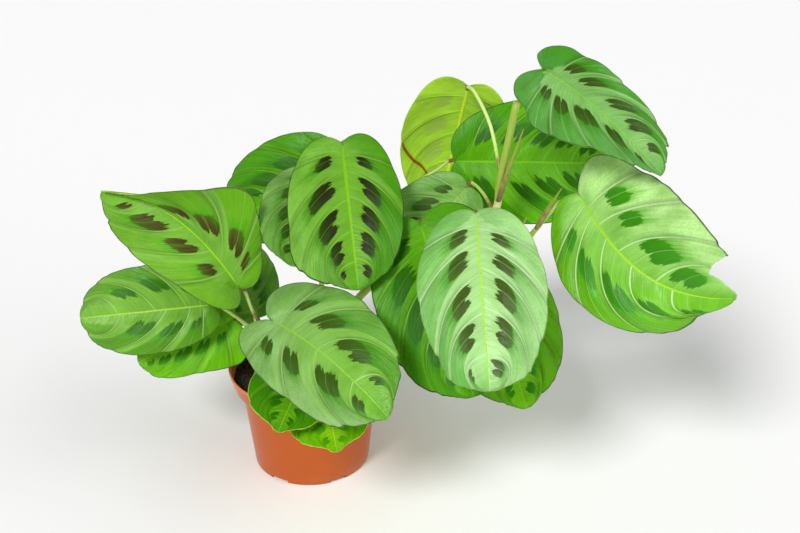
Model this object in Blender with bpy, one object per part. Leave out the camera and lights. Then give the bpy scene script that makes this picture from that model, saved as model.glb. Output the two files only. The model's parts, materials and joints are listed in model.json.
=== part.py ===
"""Potted prayer plant in a terracotta-coloured plastic nursery pot.

Metres, +Z up. The origin is the middle of the pot's underside and -Y is the front.
"""

import math

import bmesh
import bpy
import numpy as np

# Pot
POT_HEIGHT = 0.081
RIM_RADIUS = 0.060
BAND_RADIUS = 0.056
BAND_BOTTOM = 0.066
BODY_TOP_RADIUS = 0.051
BASE_RADIUS = 0.044
POT_WALL = 0.0013
FLOOR_TOP = 0.0045
REST_DISC_RADIUS = 0.022
FOOT_RING_INNER = 0.038
CHANNEL_DEPTH = 0.0025
FOOT_COUNT = 6
FOOT_NOTCH_WIDTH = 0.014
FOOT_NOTCH_REACH = 0.011
DRAIN_COUNT = 6
DRAIN_RADIUS = 0.0035
DRAIN_SIDES = 10
POT_SEGMENTS = 36
POT_CREASE = math.radians(35)

# Soil
SOIL_TOP = 0.073
SOIL_BUMP = 0.0015
SOIL_RINGS = (0.92, 0.74, 0.56, 0.38, 0.19)
SOIL_CREASE = math.radians(60)
CLEARANCE = 0.0003
HOLE_BOTTOM = 0.056
HOLE_SIDES = 12

# Blades. Shares are of a blade's length or of its half width.
BLADE_THICKNESS = 0.0008
MIDRIB_DEPTH = 0.0006
MIDRIB_SHARE = 0.1
BLADE_ROWS = 11
BLADE_COLUMNS = 8
TIP_POINT = 0.03
TIP_SHARE = 0.045
BASE_FULLNESS = 1.04
TIP_FULLNESS = 0.32
VEIN_CROWDING = 1.6
VEIN_KNEE_ALONG = 0.30
VEIN_KNEE_ACROSS = 0.62
TEAR_PLACE = 0.84
TEAR_SHARE = 0.025
TAPER_START = 0.3
TAPER_SPAN = 0.5
TWIST_START = 0.25
MARGIN_WAVES = 2.2

# Petioles
STEM_SIDES = 7
PETIOLE_SIDES = 6
PETIOLE_RADIUS = 0.0011
PULVINUS_RADIUS = 0.0015
PULVINUS_LENGTH = 0.009
SHEATH_TIP_RADIUS = 0.0003

GREEN = (0.10, 0.30, 0.05)

# Each blade: place of its base, then heading, pitch and roll in degrees, length in
# metres, and what makes its shape differ from the common one.
LEAVES = {
    "leaf_left_high": dict(
        base=(-0.044, -0.028, 0.158), heading=170, pitch=35, roll=-65, length=0.116,
        width=0.70, asymmetry=0.15, lobe=0.40, sweep=0.10, fold=26, twist=55, taper=(1, 0.5),
    ),
    "leaf_left_low": dict(
        base=(-0.068, -0.012, 0.136), heading=-175, pitch=-4, roll=-63, length=0.095,
        width=0.68, asymmetry=0.04, lobe=0.45, bend=35,
    ),
    "leaf_left_under": dict(
        base=(-0.055, 0.0, 0.117), heading=-165, pitch=-20, roll=-52, length=0.076,
        width=0.66, lobe=0.45,
    ),
    "leaf_left_inner": dict(
        base=(-0.039, 0.015, 0.111), heading=117, pitch=17, roll=-22, length=0.090,
        width=0.68,
    ),
    "leaf_front_large": dict(
        base=(-0.019, -0.062, 0.151), heading=-47, pitch=-10, roll=41, length=0.122,
        width=0.66, asymmetry=-0.06, lobe=0.90, bend=35, sweep=-0.04,
    ),
    "leaf_front_under": dict(
        base=(0.007, -0.055, 0.106), heading=-102, pitch=1, roll=-12, length=0.080,
        width=0.75, asymmetry=0.10, bend=50,
    ),
    "leaf_front_rim": dict(
        base=(0.017, -0.062, 0.091), heading=-81, pitch=2, roll=8, length=0.074,
        width=0.80, bend=50,
    ),
    "leaf_back_left": dict(
        base=(0.023, 0.070, 0.218), heading=163, pitch=-35, roll=-84, length=0.114,
        width=0.70,
    ),
    "leaf_back_middle": dict(
        base=(0.005, 0.035, 0.220), heading=-96, pitch=-23, roll=-15, length=0.092,
        width=0.68,
    ),
    "leaf_centre": dict(
        base=(0.028, 0.015, 0.249), heading=-81, pitch=-41, roll=6, length=0.112,
        width=0.70, asymmetry=0.06, lobe=0.45,
    ),
    "leaf_turned": dict(
        base=(0.118, 0.068, 0.274), heading=122, pitch=-72, roll=41, length=0.119,
        width=0.70, lobe=0.35,
    ),
    "leaf_back_right": dict(
        base=(0.109, 0.050, 0.223), heading=0, pitch=-1, roll=69, length=0.122,
        width=0.75,
    ),
    "leaf_top_right": dict(
        base=(0.164, 0.0, 0.306), heading=-46, pitch=-26, roll=66, length=0.110,
        width=0.62, asymmetry=0.15, lobe=0.60, sweep=-0.05, fold=20, twist=45,
        taper=(1, 0.55),
    ),
    "leaf_far_right": dict(
        base=(0.190, -0.020, 0.225), heading=-50, pitch=-12, roll=55, length=0.134,
        width=0.72, lobe=0.45, sweep=0.09, fold=12, twist=-40, tear=0.30,
    ),
    "leaf_right_front": dict(
        base=(0.118, -0.050, 0.224), heading=-86, pitch=-44, roll=8, length=0.121,
        width=0.69,
    ),
    "leaf_right_side": dict(
        base=(0.082, -0.025, 0.206), heading=-67, pitch=-45, roll=23, length=0.126,
        width=0.80, asymmetry=-0.08, lobe=0.50,
    ),
    "leaf_right_under": dict(
        base=(0.126, -0.015, 0.177), heading=-66, pitch=-50, roll=26, length=0.112,
        width=0.70,
    ),
    "leaf_between": dict(
        base=(0.117, 0.026, 0.212), heading=-168, pitch=-45, roll=-63, length=0.094,
        width=0.70,
    ),
}
COMMON_SHAPE = dict(
    asymmetry=0.0, lobe=0.25, bend=25, sweep=0.0, fold=4, curl=-14, twist=0,
    taper=None, tear=0.0, wave=0.0012,
)

# Each shoot: its stem's route up from the soil, and for each leaf the points that
# its petiole passes on the way from the stem.
SHOOTS = {
    "shoot_left": dict(
        stem=[(-0.012, -0.012), (-0.013, -0.012, 0.078), (-0.022, -0.015, 0.098),
              (-0.031, -0.019, 0.118), (-0.035, -0.022, 0.131)],
        radii=(0.0026, 0.0016),
        petioles={
            "leaf_left_high": [(-0.033, -0.021, 0.126), (-0.037, -0.025, 0.141)],
            "leaf_left_low": [(-0.027, -0.017, 0.109), (-0.048, -0.016, 0.127)],
            "leaf_left_under": [(-0.020, -0.014, 0.094), (-0.037, -0.009, 0.107)],
            "leaf_left_inner": [(-0.017, -0.013, 0.088), (-0.029, 0.0, 0.100)],
        },
    ),
    "shoot_front": dict(
        stem=[(0.002, -0.026), (0.001, -0.027, 0.078), (-0.003, -0.034, 0.098),
              (-0.010, -0.045, 0.125), (-0.017, -0.056, 0.142)],
        radii=(0.0026, 0.0013),
        petioles={
            "leaf_front_large": [(-0.010, -0.045, 0.125), (-0.017, -0.056, 0.142)],
            "leaf_front_under": [(-0.001, -0.030, 0.087), (0.004, -0.045, 0.100)],
            "leaf_front_rim": [(0.001, -0.027, 0.078), (0.009, -0.042, 0.088)],
        },
    ),
    "shoot_back": dict(
        stem=[(0.004, 0.016), (0.004, 0.017, 0.078), (0.008, 0.021, 0.120),
              (0.014, 0.033, 0.165), (0.021, 0.045, 0.200), (0.027, 0.042, 0.232)],
        radii=(0.0028, 0.0015),
        petioles={
            "leaf_centre": [(0.025, 0.044, 0.220), (0.029, 0.036, 0.242)],
            "leaf_back_middle": [(0.014, 0.033, 0.165), (0.009, 0.046, 0.200)],
            "leaf_back_left": [(0.023, 0.044, 0.210), (0.035, 0.056, 0.215), (0.036, 0.070, 0.223)],
            "leaf_back_right": [(0.014, 0.033, 0.165), (0.055, 0.044, 0.192), (0.094, 0.052, 0.214)],
        },
    ),
    "shoot_right": dict(
        stem=[(0.014, 0.004), (0.015, 0.004, 0.078), (0.024, 0.004, 0.106),
              (0.039, 0.003, 0.135), (0.070, 0.004, 0.162), (0.105, 0.005, 0.184),
              (0.134, 0.002, 0.202), (0.138, 0.001, 0.228), (0.147, 0.0, 0.284)],
        radii=(0.0030, 0.0019),
        petioles={
            "leaf_top_right": [(0.145, 0.0, 0.272), (0.152, 0.002, 0.292)],
            "leaf_turned": [(0.138, 0.001, 0.232), (0.131, 0.014, 0.262), (0.122, 0.044, 0.276)],
            "leaf_right_side": [(0.105, 0.005, 0.184), (0.092, -0.010, 0.196)],
            "leaf_right_front": [(0.134, 0.002, 0.202), (0.131, -0.018, 0.222)],
            "leaf_between": [(0.134, 0.003, 0.203), (0.135, 0.020, 0.214), (0.128, 0.030, 0.221)],
        },
    ),
    "shoot_low_right": dict(
        stem=[(0.024, -0.012), (0.025, -0.012, 0.078), (0.040, -0.010, 0.102),
              (0.080, -0.006, 0.140), (0.125, -0.004, 0.165), (0.152, -0.005, 0.178),
              (0.166, -0.008, 0.197)],
        radii=(0.0028, 0.0017),
        petioles={
            "leaf_far_right": [(0.160, -0.006, 0.188), (0.177, -0.010, 0.213)],
            "leaf_right_under": [(0.108, -0.005, 0.156), (0.120, -0.002, 0.170)],
        },
    ),
}

# Leaf sheaths and new shoots: route, widest radius.
SHEATHS = {
    "shoot_right": [([(0.137, 0.0, 0.212), (0.142, -0.002, 0.232), (0.152, -0.003, 0.266)], 0.0026)],
    "shoot_low_right": [([(0.149, -0.005, 0.177), (0.154, -0.006, 0.190), (0.162, -0.007, 0.203)], 0.0024)],
}


def clear_scene():
    for item in list(bpy.data.objects):
        bpy.data.objects.remove(item, do_unlink=True)


def material(name, colour, roughness):
    made = bpy.data.materials.new(name)
    made.use_nodes = True
    shader = made.node_tree.nodes["Principled BSDF"]
    shader.inputs["Base Color"].default_value = (*colour, 1.0)
    shader.inputs["Roughness"].default_value = roughness
    return made


def add_object(name, vertices, faces, surface, smooth=True):
    """One mesh object with its faces turned outwards."""
    mesh = bpy.data.meshes.new(name)
    mesh.from_pydata([tuple(map(float, v)) for v in vertices], [], faces)
    mesh.materials.append(surface)
    shape = bmesh.new()
    shape.from_mesh(mesh)
    bmesh.ops.recalc_face_normals(shape, faces=shape.faces)
    shape.to_mesh(mesh)
    shape.free()
    for face in mesh.polygons:
        face.use_smooth = smooth
    made = bpy.data.objects.new(name, mesh)
    bpy.context.scene.collection.objects.link(made)
    return made


def turned(name, profile, surface, segments=POT_SEGMENTS):
    """A closed body of revolution; the profile runs from the axis back to the axis."""
    vertices, rings = [], []
    for radius, height in profile:
        if radius == 0:
            rings.append([len(vertices)])
            vertices.append((0.0, 0.0, height))
            continue
        rings.append(list(range(len(vertices), len(vertices) + segments)))
        for step in range(segments):
            angle = 2 * math.pi * step / segments
            vertices.append((radius * math.cos(angle), radius * math.sin(angle), height))
    faces = []
    for low, high in zip(rings, rings[1:]):
        for step in range(segments):
            after = (step + 1) % segments
            if len(low) == 1:
                faces.append((low[0], high[step], high[after]))
            elif len(high) == 1:
                faces.append((low[step], high[0], low[after]))
            else:
                faces.append((low[step], high[step], high[after], low[after]))
    return add_object(name, vertices, faces, surface)


def combine(target, others, operation):
    """Joins or cuts the target with the other objects in one Boolean, then removes them."""
    group = bpy.data.collections.new(target.name + "_others")
    for item in others:
        group.objects.link(item)
    step = target.modifiers.new("combine", "BOOLEAN")
    step.operation = operation
    step.solver = "EXACT"
    step.operand_type = "COLLECTION"
    step.collection = group
    graph = bpy.context.evaluated_depsgraph_get()
    shaped = bpy.data.meshes.new_from_object(target.evaluated_get(graph))
    target.modifiers.clear()
    target.data = shaped
    for item in others:
        bpy.data.objects.remove(item, do_unlink=True)
    bpy.data.collections.remove(group)


def box(name, centre, size, angle, surface):
    """A cutter: a box turned about the upright axis."""
    vertices = []
    for x in (-0.5, 0.5):
        for y in (-0.5, 0.5):
            for z in (-0.5, 0.5):
                px, py = x * size[0], y * size[1]
                vertices.append((
                    centre[0] + px * math.cos(angle) - py * math.sin(angle),
                    centre[1] + px * math.sin(angle) + py * math.cos(angle),
                    centre[2] + z * size[2],
                ))
    faces = [(0, 1, 3, 2), (4, 6, 7, 5), (0, 4, 5, 1), (2, 3, 7, 6), (0, 2, 6, 4), (1, 5, 7, 3)]
    return add_object(name, vertices, faces, surface, smooth=False)


def post(name, x, y, radius, bottom, top, surface, sides):
    """An upright round cutter."""
    made = turned(name, [(0, bottom), (radius, bottom), (radius, top), (0, top)], surface, sides)
    made.location = (x, y, 0)
    bpy.context.view_layer.update()
    return made


def inner_radius(height):
    """Radius of the pot's inner face at a height."""
    if height < BAND_BOTTOM:
        share = height / BAND_BOTTOM
        return BASE_RADIUS + (BODY_TOP_RADIUS - BASE_RADIUS) * share - POT_WALL
    share = (height - BAND_BOTTOM) / (POT_HEIGHT - BAND_BOTTOM)
    return BAND_RADIUS + (RIM_RADIUS - BAND_RADIUS) * share - POT_WALL


def make_pot():
    plastic = material("pot_plastic", (0.62, 0.21, 0.09), 0.45)
    lip = POT_WALL / 2
    profile = [
        (0, 0),
        (REST_DISC_RADIUS, 0),
        (REST_DISC_RADIUS + 0.0015, CHANNEL_DEPTH),
        (FOOT_RING_INNER - 0.0010, CHANNEL_DEPTH),
        (FOOT_RING_INNER, 0),
        (BASE_RADIUS - 0.0010, 0),
        (BASE_RADIUS, 0.0012),
        (BODY_TOP_RADIUS, BAND_BOTTOM),
        (BAND_RADIUS - 0.0006, BAND_BOTTOM),
        (BAND_RADIUS, BAND_BOTTOM + 0.0008),
        (RIM_RADIUS, POT_HEIGHT - 0.0009),
        (RIM_RADIUS - lip * 0.6, POT_HEIGHT),
        (RIM_RADIUS - POT_WALL - lip * 0.4, POT_HEIGHT),
        (inner_radius(POT_HEIGHT), POT_HEIGHT - 0.0012),
        (inner_radius(BAND_BOTTOM + 0.0015), BAND_BOTTOM + 0.0015),
        (inner_radius(BAND_BOTTOM - 0.001), BAND_BOTTOM + 0.0012),
        (inner_radius(FLOOR_TOP + 0.001), FLOOR_TOP + 0.001),
        (inner_radius(FLOOR_TOP) - 0.001, FLOOR_TOP),
        (0, FLOOR_TOP),
    ]
    pot = turned("pot", profile, plastic)
    cutters = []
    for step in range(FOOT_COUNT):
        angle = 2 * math.pi * (step + 0.5) / FOOT_COUNT - math.pi / 2
        middle = (FOOT_RING_INNER + BASE_RADIUS) / 2
        place = (middle * math.cos(angle), middle * math.sin(angle), 0)
        size = (FOOT_NOTCH_REACH, FOOT_NOTCH_WIDTH, 2 * CHANNEL_DEPTH)
        cutters.append(box("foot_notch", place, size, angle, plastic))
    for step in range(DRAIN_COUNT):
        angle = 2 * math.pi * step / DRAIN_COUNT - math.pi / 2
        reach = (REST_DISC_RADIUS + FOOT_RING_INNER) / 2
        x, y = reach * math.cos(angle), reach * math.sin(angle)
        cutters.append(post("drain", x, y, DRAIN_RADIUS, -0.002, FLOOR_TOP + 0.002, plastic,
                            DRAIN_SIDES))
    combine(pot, cutters, "DIFFERENCE")
    pot.data.set_sharp_from_angle(angle=POT_CREASE)


def bumps(x, y):
    """Height of the soil's loose top over its mean level."""
    slow = math.sin(190 * x + 1.0) * math.cos(170 * y - 0.4)
    quick = math.sin(420 * x - 1.3) * math.sin(390 * y + 0.7)
    return SOIL_BUMP * (0.6 * slow + 0.4 * quick)


def make_soil():
    peat = material("peat", (0.025, 0.017, 0.012), 0.95)
    gap = 1.15 * CLEARANCE
    edge = inner_radius(SOIL_TOP - 0.001) - gap
    outline = [
        (0, FLOOR_TOP + gap),
        (inner_radius(FLOOR_TOP) - 0.0015 - gap, FLOOR_TOP + gap),
        (inner_radius(FLOOR_TOP + 0.002) - gap, FLOOR_TOP + 0.002),
        (inner_radius(BAND_BOTTOM - 0.001) - gap, BAND_BOTTOM + 0.0015),
        (inner_radius(BAND_BOTTOM + 0.002) - gap, BAND_BOTTOM + 0.002 + gap),
        (edge, SOIL_TOP - 0.001),
    ]
    profile = outline + [(edge * share, SOIL_TOP) for share in SOIL_RINGS] + [(0, SOIL_TOP)]
    soil = turned("soil", profile, peat)
    for vertex in soil.data.vertices:
        if vertex.co.z >= SOIL_TOP - 1e-6:
            vertex.co.z += bumps(vertex.co.x, vertex.co.y)
    cutters = []
    for shoot in SHOOTS.values():
        x, y = shoot["stem"][0]
        radius = shoot["radii"][0] + 3 * CLEARANCE
        cutters.append(post("stem_hole", x, y, radius, HOLE_BOTTOM, POT_HEIGHT, peat, HOLE_SIDES))
    combine(soil, cutters, "DIFFERENCE")
    soil.data.set_sharp_from_angle(angle=SOIL_CREASE)


def smooth_route(points, per_span=2):
    """Points along a Catmull-Rom curve through the given ones."""
    given = np.array(points, float)
    padded = np.vstack([2 * given[0] - given[1], given, 2 * given[-1] - given[-2]])
    route = []
    for a, b, c, d in zip(padded, padded[1:], padded[2:], padded[3:]):
        for t in np.arange(per_span) / per_span:
            route.append(0.5 * (2 * b + (c - a) * t + (2 * a - 5 * b + 4 * c - d) * t**2
                                + (3 * b - a - 3 * c + d) * t**3))
    route.append(given[-1])
    return np.array(route)


def tube(name, route, radii, sides, surface):
    """A round tube along the route, closed at both ends, with one radius for each point."""
    along = np.gradient(route, axis=0)
    along /= np.linalg.norm(along, axis=1)[:, None]
    across = np.cross(along[0], (0.0, 1.0, 0.0))
    vertices = []
    for place, way, radius in zip(route, along, radii):
        across = across - way * (across @ way)
        across /= np.linalg.norm(across)
        third = np.cross(way, across)
        for step in range(sides):
            angle = 2 * math.pi * step / sides
            vertices.append(place + radius * (math.cos(angle) * across + math.sin(angle) * third))
    last = len(route) - 1
    faces = [tuple(range(sides)), tuple(last * sides + k for k in range(sides))]
    for ring in range(last):
        for step in range(sides):
            after = (step + 1) % sides
            low, high = ring * sides, (ring + 1) * sides
            faces.append((low + step, low + after, high + after, high + step))
    return add_object(name, vertices, faces, surface)


def leaf_axes(leaf):
    """Unit vectors of a blade: along it, out of its upper face, and to its side."""
    heading, pitch, roll = (math.radians(leaf[key]) for key in ("heading", "pitch", "roll"))
    along = np.array([
        math.cos(pitch) * math.cos(heading), math.cos(pitch) * math.sin(heading), math.sin(pitch)
    ])
    upright = np.array([
        -math.sin(pitch) * math.cos(heading), -math.sin(pitch) * math.sin(heading), math.cos(pitch)
    ])
    normal = math.cos(roll) * upright + math.sin(roll) * np.cross(along, upright)
    return along, normal, np.cross(along, normal)


def leaf_outline(u, v, leaf):
    """Flat place in a blade, in leaf lengths: along from the base, and across.

    u runs from base to tip and v from one margin, through the midrib, to the other.
    A line of constant u is a side vein: it leaves the midrib and curves to the margin.
    """
    turn = np.pi * u
    margin_along = (1 - np.cos(turn)) / 2 - leaf["lobe"] * np.sin(turn) * (1 - u) ** 4
    point = TIP_POINT * np.exp(-(((1 - u) / TIP_SHARE) ** 2))
    margin_along = (margin_along + point) / (1 + TIP_POINT)
    fullness = BASE_FULLNESS - TIP_FULLNESS * u
    margin_across = leaf["width"] / 2 * np.sin(turn).clip(0) ** fullness
    margin_across = margin_across * (1 + leaf["asymmetry"] * np.sign(v))
    if leaf["tear"]:
        torn = leaf["tear"] * np.exp(-(((u - TEAR_PLACE) / TEAR_SHARE) ** 2))
        margin_across = margin_across * (1 - torn * (v < 0))
    if leaf["taper"]:
        side, share = leaf["taper"]
        ease = np.clip((u - TAPER_START) / TAPER_SPAN, 0, 1)
        ease = ease * ease * (3 - 2 * ease)
        margin_across = margin_across * (1 - share * ease * (np.sign(v) == side))
    out = np.abs(v)
    root = u**VEIN_CROWDING
    knee_along = root + (margin_along - root) * VEIN_KNEE_ALONG
    knee_across = margin_across * VEIN_KNEE_ACROSS
    along = (1 - out) ** 2 * root + 2 * out * (1 - out) * knee_along + out**2 * margin_along
    across = 2 * out * (1 - out) * knee_across + out**2 * margin_across
    return along, across * np.sign(v)


def leaf_surface(u, v, leaf):
    """Places on a blade's middle surface.

    The midrib is an arc of a circle. Each half is lifted by the fold, droops towards
    its margin by the curl, turns about the midrib by the twist and waves at the margin.
    """
    along, across = leaf_outline(u, v, leaf)
    length = leaf["length"]
    forward, normal, side = leaf_axes(leaf)
    bend = math.radians(leaf["bend"])
    slope = bend * (0.5 - along)
    ahead = length * (np.sin(bend / 2) - np.sin(slope)) / bend
    lift = length * (np.cos(slope) - np.cos(bend / 2)) / bend
    shift = leaf["sweep"] * length * along * (1 - along) * 4
    out = np.abs(across) * length
    sign = np.sign(across)
    rise = math.radians(leaf["fold"]) + math.radians(leaf["curl"]) * np.abs(across) / leaf["width"]
    turn = math.radians(leaf["twist"]) * np.clip((along - TWIST_START) / (1 - TWIST_START), 0, 1) ** 1.3
    flat = out * np.cos(rise) * sign
    high = out * np.sin(rise)
    ripple = np.sin(2 * np.pi * MARGIN_WAVES * u + sign * 1.1) * np.sin(np.pi * u).clip(0) ** 0.5
    high = high + leaf["wave"] * v**2 * ripple
    sideways = shift + flat * np.cos(turn) - high * np.sin(turn)
    upwards = flat * np.sin(turn) + high * np.cos(turn)
    local = np.cos(slope)[..., None] * normal - np.sin(slope)[..., None] * forward
    return (np.array(leaf["base"]) + ahead[..., None] * forward + lift[..., None] * normal
            + sideways[..., None] * side + upwards[..., None] * local)


def leaf_normals(u, v, leaf):
    """Unit vectors out of the blade's upper face."""
    step = 1e-3
    inner = np.clip(u, 0.03, 0.97)
    near = np.clip(v, -0.97, 0.97)
    du = leaf_surface(inner + step, near, leaf) - leaf_surface(inner - step, near, leaf)
    dv = leaf_surface(inner, near + step, leaf) - leaf_surface(inner, near - step, leaf)
    normal = np.cross(du, dv)
    return normal / np.linalg.norm(normal, axis=-1)[..., None]


def make_leaf(name, leaf):
    """A thin closed blade: upper and lower faces with the same triangles, and a rim."""
    green = material(name + "_green", GREEN, 0.4)
    rows, columns = BLADE_ROWS, BLADE_COLUMNS
    u = np.concatenate([[0.0], np.repeat(np.arange(1, rows) / rows, columns + 1), [1.0]])
    v = np.concatenate([[1e-6], np.tile(np.linspace(-1, 1, columns + 1), rows - 1), [1e-6]])
    middle = leaf_surface(u, v + 1e-9, leaf)
    normals = leaf_normals(u, v + 1e-9, leaf)
    ridge = MIDRIB_DEPTH * np.exp(-((v / MIDRIB_SHARE) ** 2)) * (1 - 0.7 * u)
    upper = middle + normals * BLADE_THICKNESS / 2
    lower = middle - normals * (BLADE_THICKNESS / 2 + ridge)[:, None]
    count, wide = len(u), columns + 1
    top = []
    for k in range(columns):
        top.append((0, 1 + k, 2 + k))
        end = 1 + (rows - 2) * wide + k
        top.append((count - 1, end + 1, end))
    for row in range(rows - 2):
        for k in range(columns):
            a = 1 + row * wide + k
            b, c, d = a + 1, a + wide, a + wide + 1
            if k < columns // 2:
                top += [(a, c, b), (b, c, d)]
            else:
                top += [(a, c, d), (a, d, b)]
    faces = top + [tuple(count + k for k in reversed(face)) for face in top]
    left = [0] + [1 + row * wide for row in range(rows - 1)] + [count - 1]
    right = [0] + [1 + row * wide + columns for row in range(rows - 1)] + [count - 1]
    rim = left + right[-2:0:-1]
    for a, b in zip(rim, rim[1:] + rim[:1]):
        faces += [(a, b, count + b), (a, count + b, count + a)]
    add_object(name, np.vstack([upper, lower]), faces, green)


def petiole_route(points, leaf):
    """From the stem to just below the blade's base, under its midrib."""
    forward, normal, _ = leaf_axes(leaf)
    half = math.radians(leaf["bend"]) / 2
    tangent = math.cos(half) * forward + math.sin(half) * normal
    below = math.cos(half) * normal - math.sin(half) * forward
    base = np.array(leaf["base"])
    drop = BLADE_THICKNESS / 2 + 1.3 * CLEARANCE + PULVINUS_RADIUS
    end = base + 0.002 * tangent - drop * below
    before = base - 0.005 * tangent - (drop + 0.003) * below
    return smooth_route([*points, before, end])


def make_shoot(name, shoot):
    """A stem with its petioles and sheaths, joined into one body."""
    surface = material(name + "_skin", (0.22, 0.30, 0.10), 0.5)
    x, y = shoot["stem"][0]
    foot = [(x, y, HOLE_BOTTOM + 2 * CLEARANCE), (x, y, SOIL_TOP - 0.006)]
    route = smooth_route([*foot, *shoot["stem"][1:]])
    radii = np.linspace(*shoot["radii"], len(route))
    stem = tube(name, route, radii, STEM_SIDES, surface)
    parts = []
    for leaf_name, points in shoot["petioles"].items():
        leaf = LEAVES[leaf_name]
        path = petiole_route(points, leaf)
        steps = np.linalg.norm(np.diff(path, axis=0), axis=1)
        left = np.append(np.cumsum(steps[::-1])[::-1], 0)
        thick = np.where(left < PULVINUS_LENGTH, PULVINUS_RADIUS, PETIOLE_RADIUS)
        parts.append(tube(leaf_name + "_petiole", path, thick, PETIOLE_SIDES, surface))
    for points, widest in SHEATHS.get(name, []):
        path = smooth_route(points)
        share = np.linspace(0, 1, len(path))
        thick = widest * (1 - share) ** 0.7 + SHEATH_TIP_RADIUS
        parts.append(tube(name + "_sheath", path, thick, PETIOLE_SIDES, surface))
    combine(stem, parts, "UNION")
    for face in stem.data.polygons:
        face.use_smooth = True


def main():
    clear_scene()
    make_pot()
    make_soil()
    for name, own in LEAVES.items():
        LEAVES[name] = {**COMMON_SHAPE, **own}
        make_leaf(name, LEAVES[name])
    for name, shoot in SHOOTS.items():
        make_shoot(name, shoot)


main()
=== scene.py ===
"""Looks of the potted prayer plant: blades, shoots, soil and pot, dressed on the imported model.

Metres, +Z up. The origin is the middle of the pot's underside and -Y is the front.
"""

import json
import math

import bpy
import numpy as np
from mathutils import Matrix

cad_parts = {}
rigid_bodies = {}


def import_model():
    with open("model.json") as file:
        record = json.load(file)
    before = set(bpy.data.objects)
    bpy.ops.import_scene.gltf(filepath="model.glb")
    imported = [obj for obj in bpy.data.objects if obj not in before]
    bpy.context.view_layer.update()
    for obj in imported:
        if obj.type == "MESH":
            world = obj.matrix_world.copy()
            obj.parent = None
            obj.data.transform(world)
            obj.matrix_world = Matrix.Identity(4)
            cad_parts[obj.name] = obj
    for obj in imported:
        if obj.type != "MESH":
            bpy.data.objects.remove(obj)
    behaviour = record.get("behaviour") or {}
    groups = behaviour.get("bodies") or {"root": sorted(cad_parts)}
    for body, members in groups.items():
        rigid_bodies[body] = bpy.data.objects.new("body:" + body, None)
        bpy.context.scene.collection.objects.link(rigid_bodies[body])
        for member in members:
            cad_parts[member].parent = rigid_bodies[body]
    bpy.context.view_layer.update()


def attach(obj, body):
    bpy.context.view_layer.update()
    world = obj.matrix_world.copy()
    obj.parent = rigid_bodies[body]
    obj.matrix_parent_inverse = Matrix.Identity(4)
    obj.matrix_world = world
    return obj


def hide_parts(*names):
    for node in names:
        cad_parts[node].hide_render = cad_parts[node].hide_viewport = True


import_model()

# Camera and floor
CAMERA_PLACE = (0.0684, -0.719, 0.5116)
CAMERA_TILT = math.radians(64)
CAMERA_LENS = 50.0
CAMERA_SENSOR = 36.0
CAMERA_NEAR = 0.01
FLOOR_SIZE = 80.0
FLOOR_COLOURS = ((0.92, 0.92, 0.92), (0.93, 0.93, 0.93))

# Share of the world's brightness that lights the plant, and each light's name, direction
# that it comes from, width in degrees and power
WORLD_LIGHT = 0.25
LIGHTS = (
    ("key", (-0.52, -0.88, 0.88), 18, 2.55),
    ("fill", (1.0, -0.45, 0.75), 60, 1.5),
)

# What a node group puts out
GROUP_OUTPUTS = {"Colour": "Color", "Roughness": "Float", "Height": "Float"}

# Blades. Shares are of a blade's length or of its half width. The scale draws a blade in
# towards its base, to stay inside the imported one. A place just off the midrib has a side.
BLADE_ROWS = 150
BLADE_COLUMNS = 96
COLUMN_CROWDING = 1.2
BLADE_THICKNESS = 0.0008
RIM_THICKNESS = 0.00025
BLADE_SCALE = 0.9955
OFF_MIDRIB = 1e-9
BASE_FULLNESS = 1.04
TIP_FULLNESS = 0.32
VEIN_CROWDING = 1.6
VEIN_SWEEP = 1.8
VEIN_KNEE_ALONG = 0.28
VEIN_KNEE_ACROSS = 0.70
TAPER_START = 0.3
TAPER_SPAN = 0.5
TWIST_START = 0.25
MARGIN_CURL = -14
MARGIN_WAVES = 2.2
MARGIN_RIPPLE = 0.0012
QUILT_SHARE = 0.026
QUILT_CREST = 0.58
GROOVE_DEPTH = 0.0003
KEEL_DEPTH = 0.0008
KEEL_WIDTH = 0.0011
VEIN_RIDGE = 0.00022

# Strips between main side veins: how far before its blotch a vein starts, how much further
# a blotch spreads than its given veins, where across a strip it ends at the latest, the
# width that the pattern takes as usual, and a distance from a scar that shows none
VEIN_LEAD = 0.018
BLOTCH_SPREAD = 0.003
BLOTCH_END_LIMIT = 0.94
USUAL_STRIP = 0.15
FAR_OFF = 9.0

# The strip nearest the base, which has no blotch: inner and outer end, end and start across it
BASE_STRIP = (0.16, -0.4, 0.7, 0.1)

# Colours of a blade's underside and of the scar. The underside's pale green is its own colour,
# brightened to paint the light that shines through the blade
UNDER_GREEN = (0.46, 0.76, 0.05)
UNDER_BLOTCH = (0.36, 0.55, 0.08)
UNDER_MIDRIB = (0.66, 0.88, 0.04)
UNDER_GLOSS = 0.12
SCAR = (0.19, 0.035, 0.004)
SCAR_EDGE = (0.40, 0.42, 0.01)

# Stems and petioles. A petiole meets its blade from below: how far before the blade's base
# and how far under it, then how far past the base and how far under it the petiole ends.
# The pulvinus is the swollen joint there.
PETIOLE_RADIUS = 0.0012
PETIOLE_MEETS = 0.005
PETIOLE_SLACK = 0.003
PETIOLE_REACH = 0.002
PETIOLE_DROP = 0.0011
PULVINUS_RADIUS = 0.0015
PULVINUS_LENGTH = 0.009
SHEATH_TIP = 0.0002
ROOTED_LENGTH = 0.018
ROUTE_STEPS = 8
TUBE_SIDES = 20
HOLE_BOTTOM = 0.056
CLEARANCE = 0.0003

# Green and flushed colour of each kind of part
STEM_COLOURS = {
    "stem": ((0.34, 0.47, 0.06), (0.74, 0.70, 0.30)),
    "petiole": ((0.44, 0.58, 0.14), (0.24, 0.10, 0.045)),
    "pale_petiole": ((0.62, 0.82, 0.24), (0.26, 0.08, 0.03)),
    "sheath": ((0.30, 0.34, 0.05), (0.19, 0.115, 0.055)),
}

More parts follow.
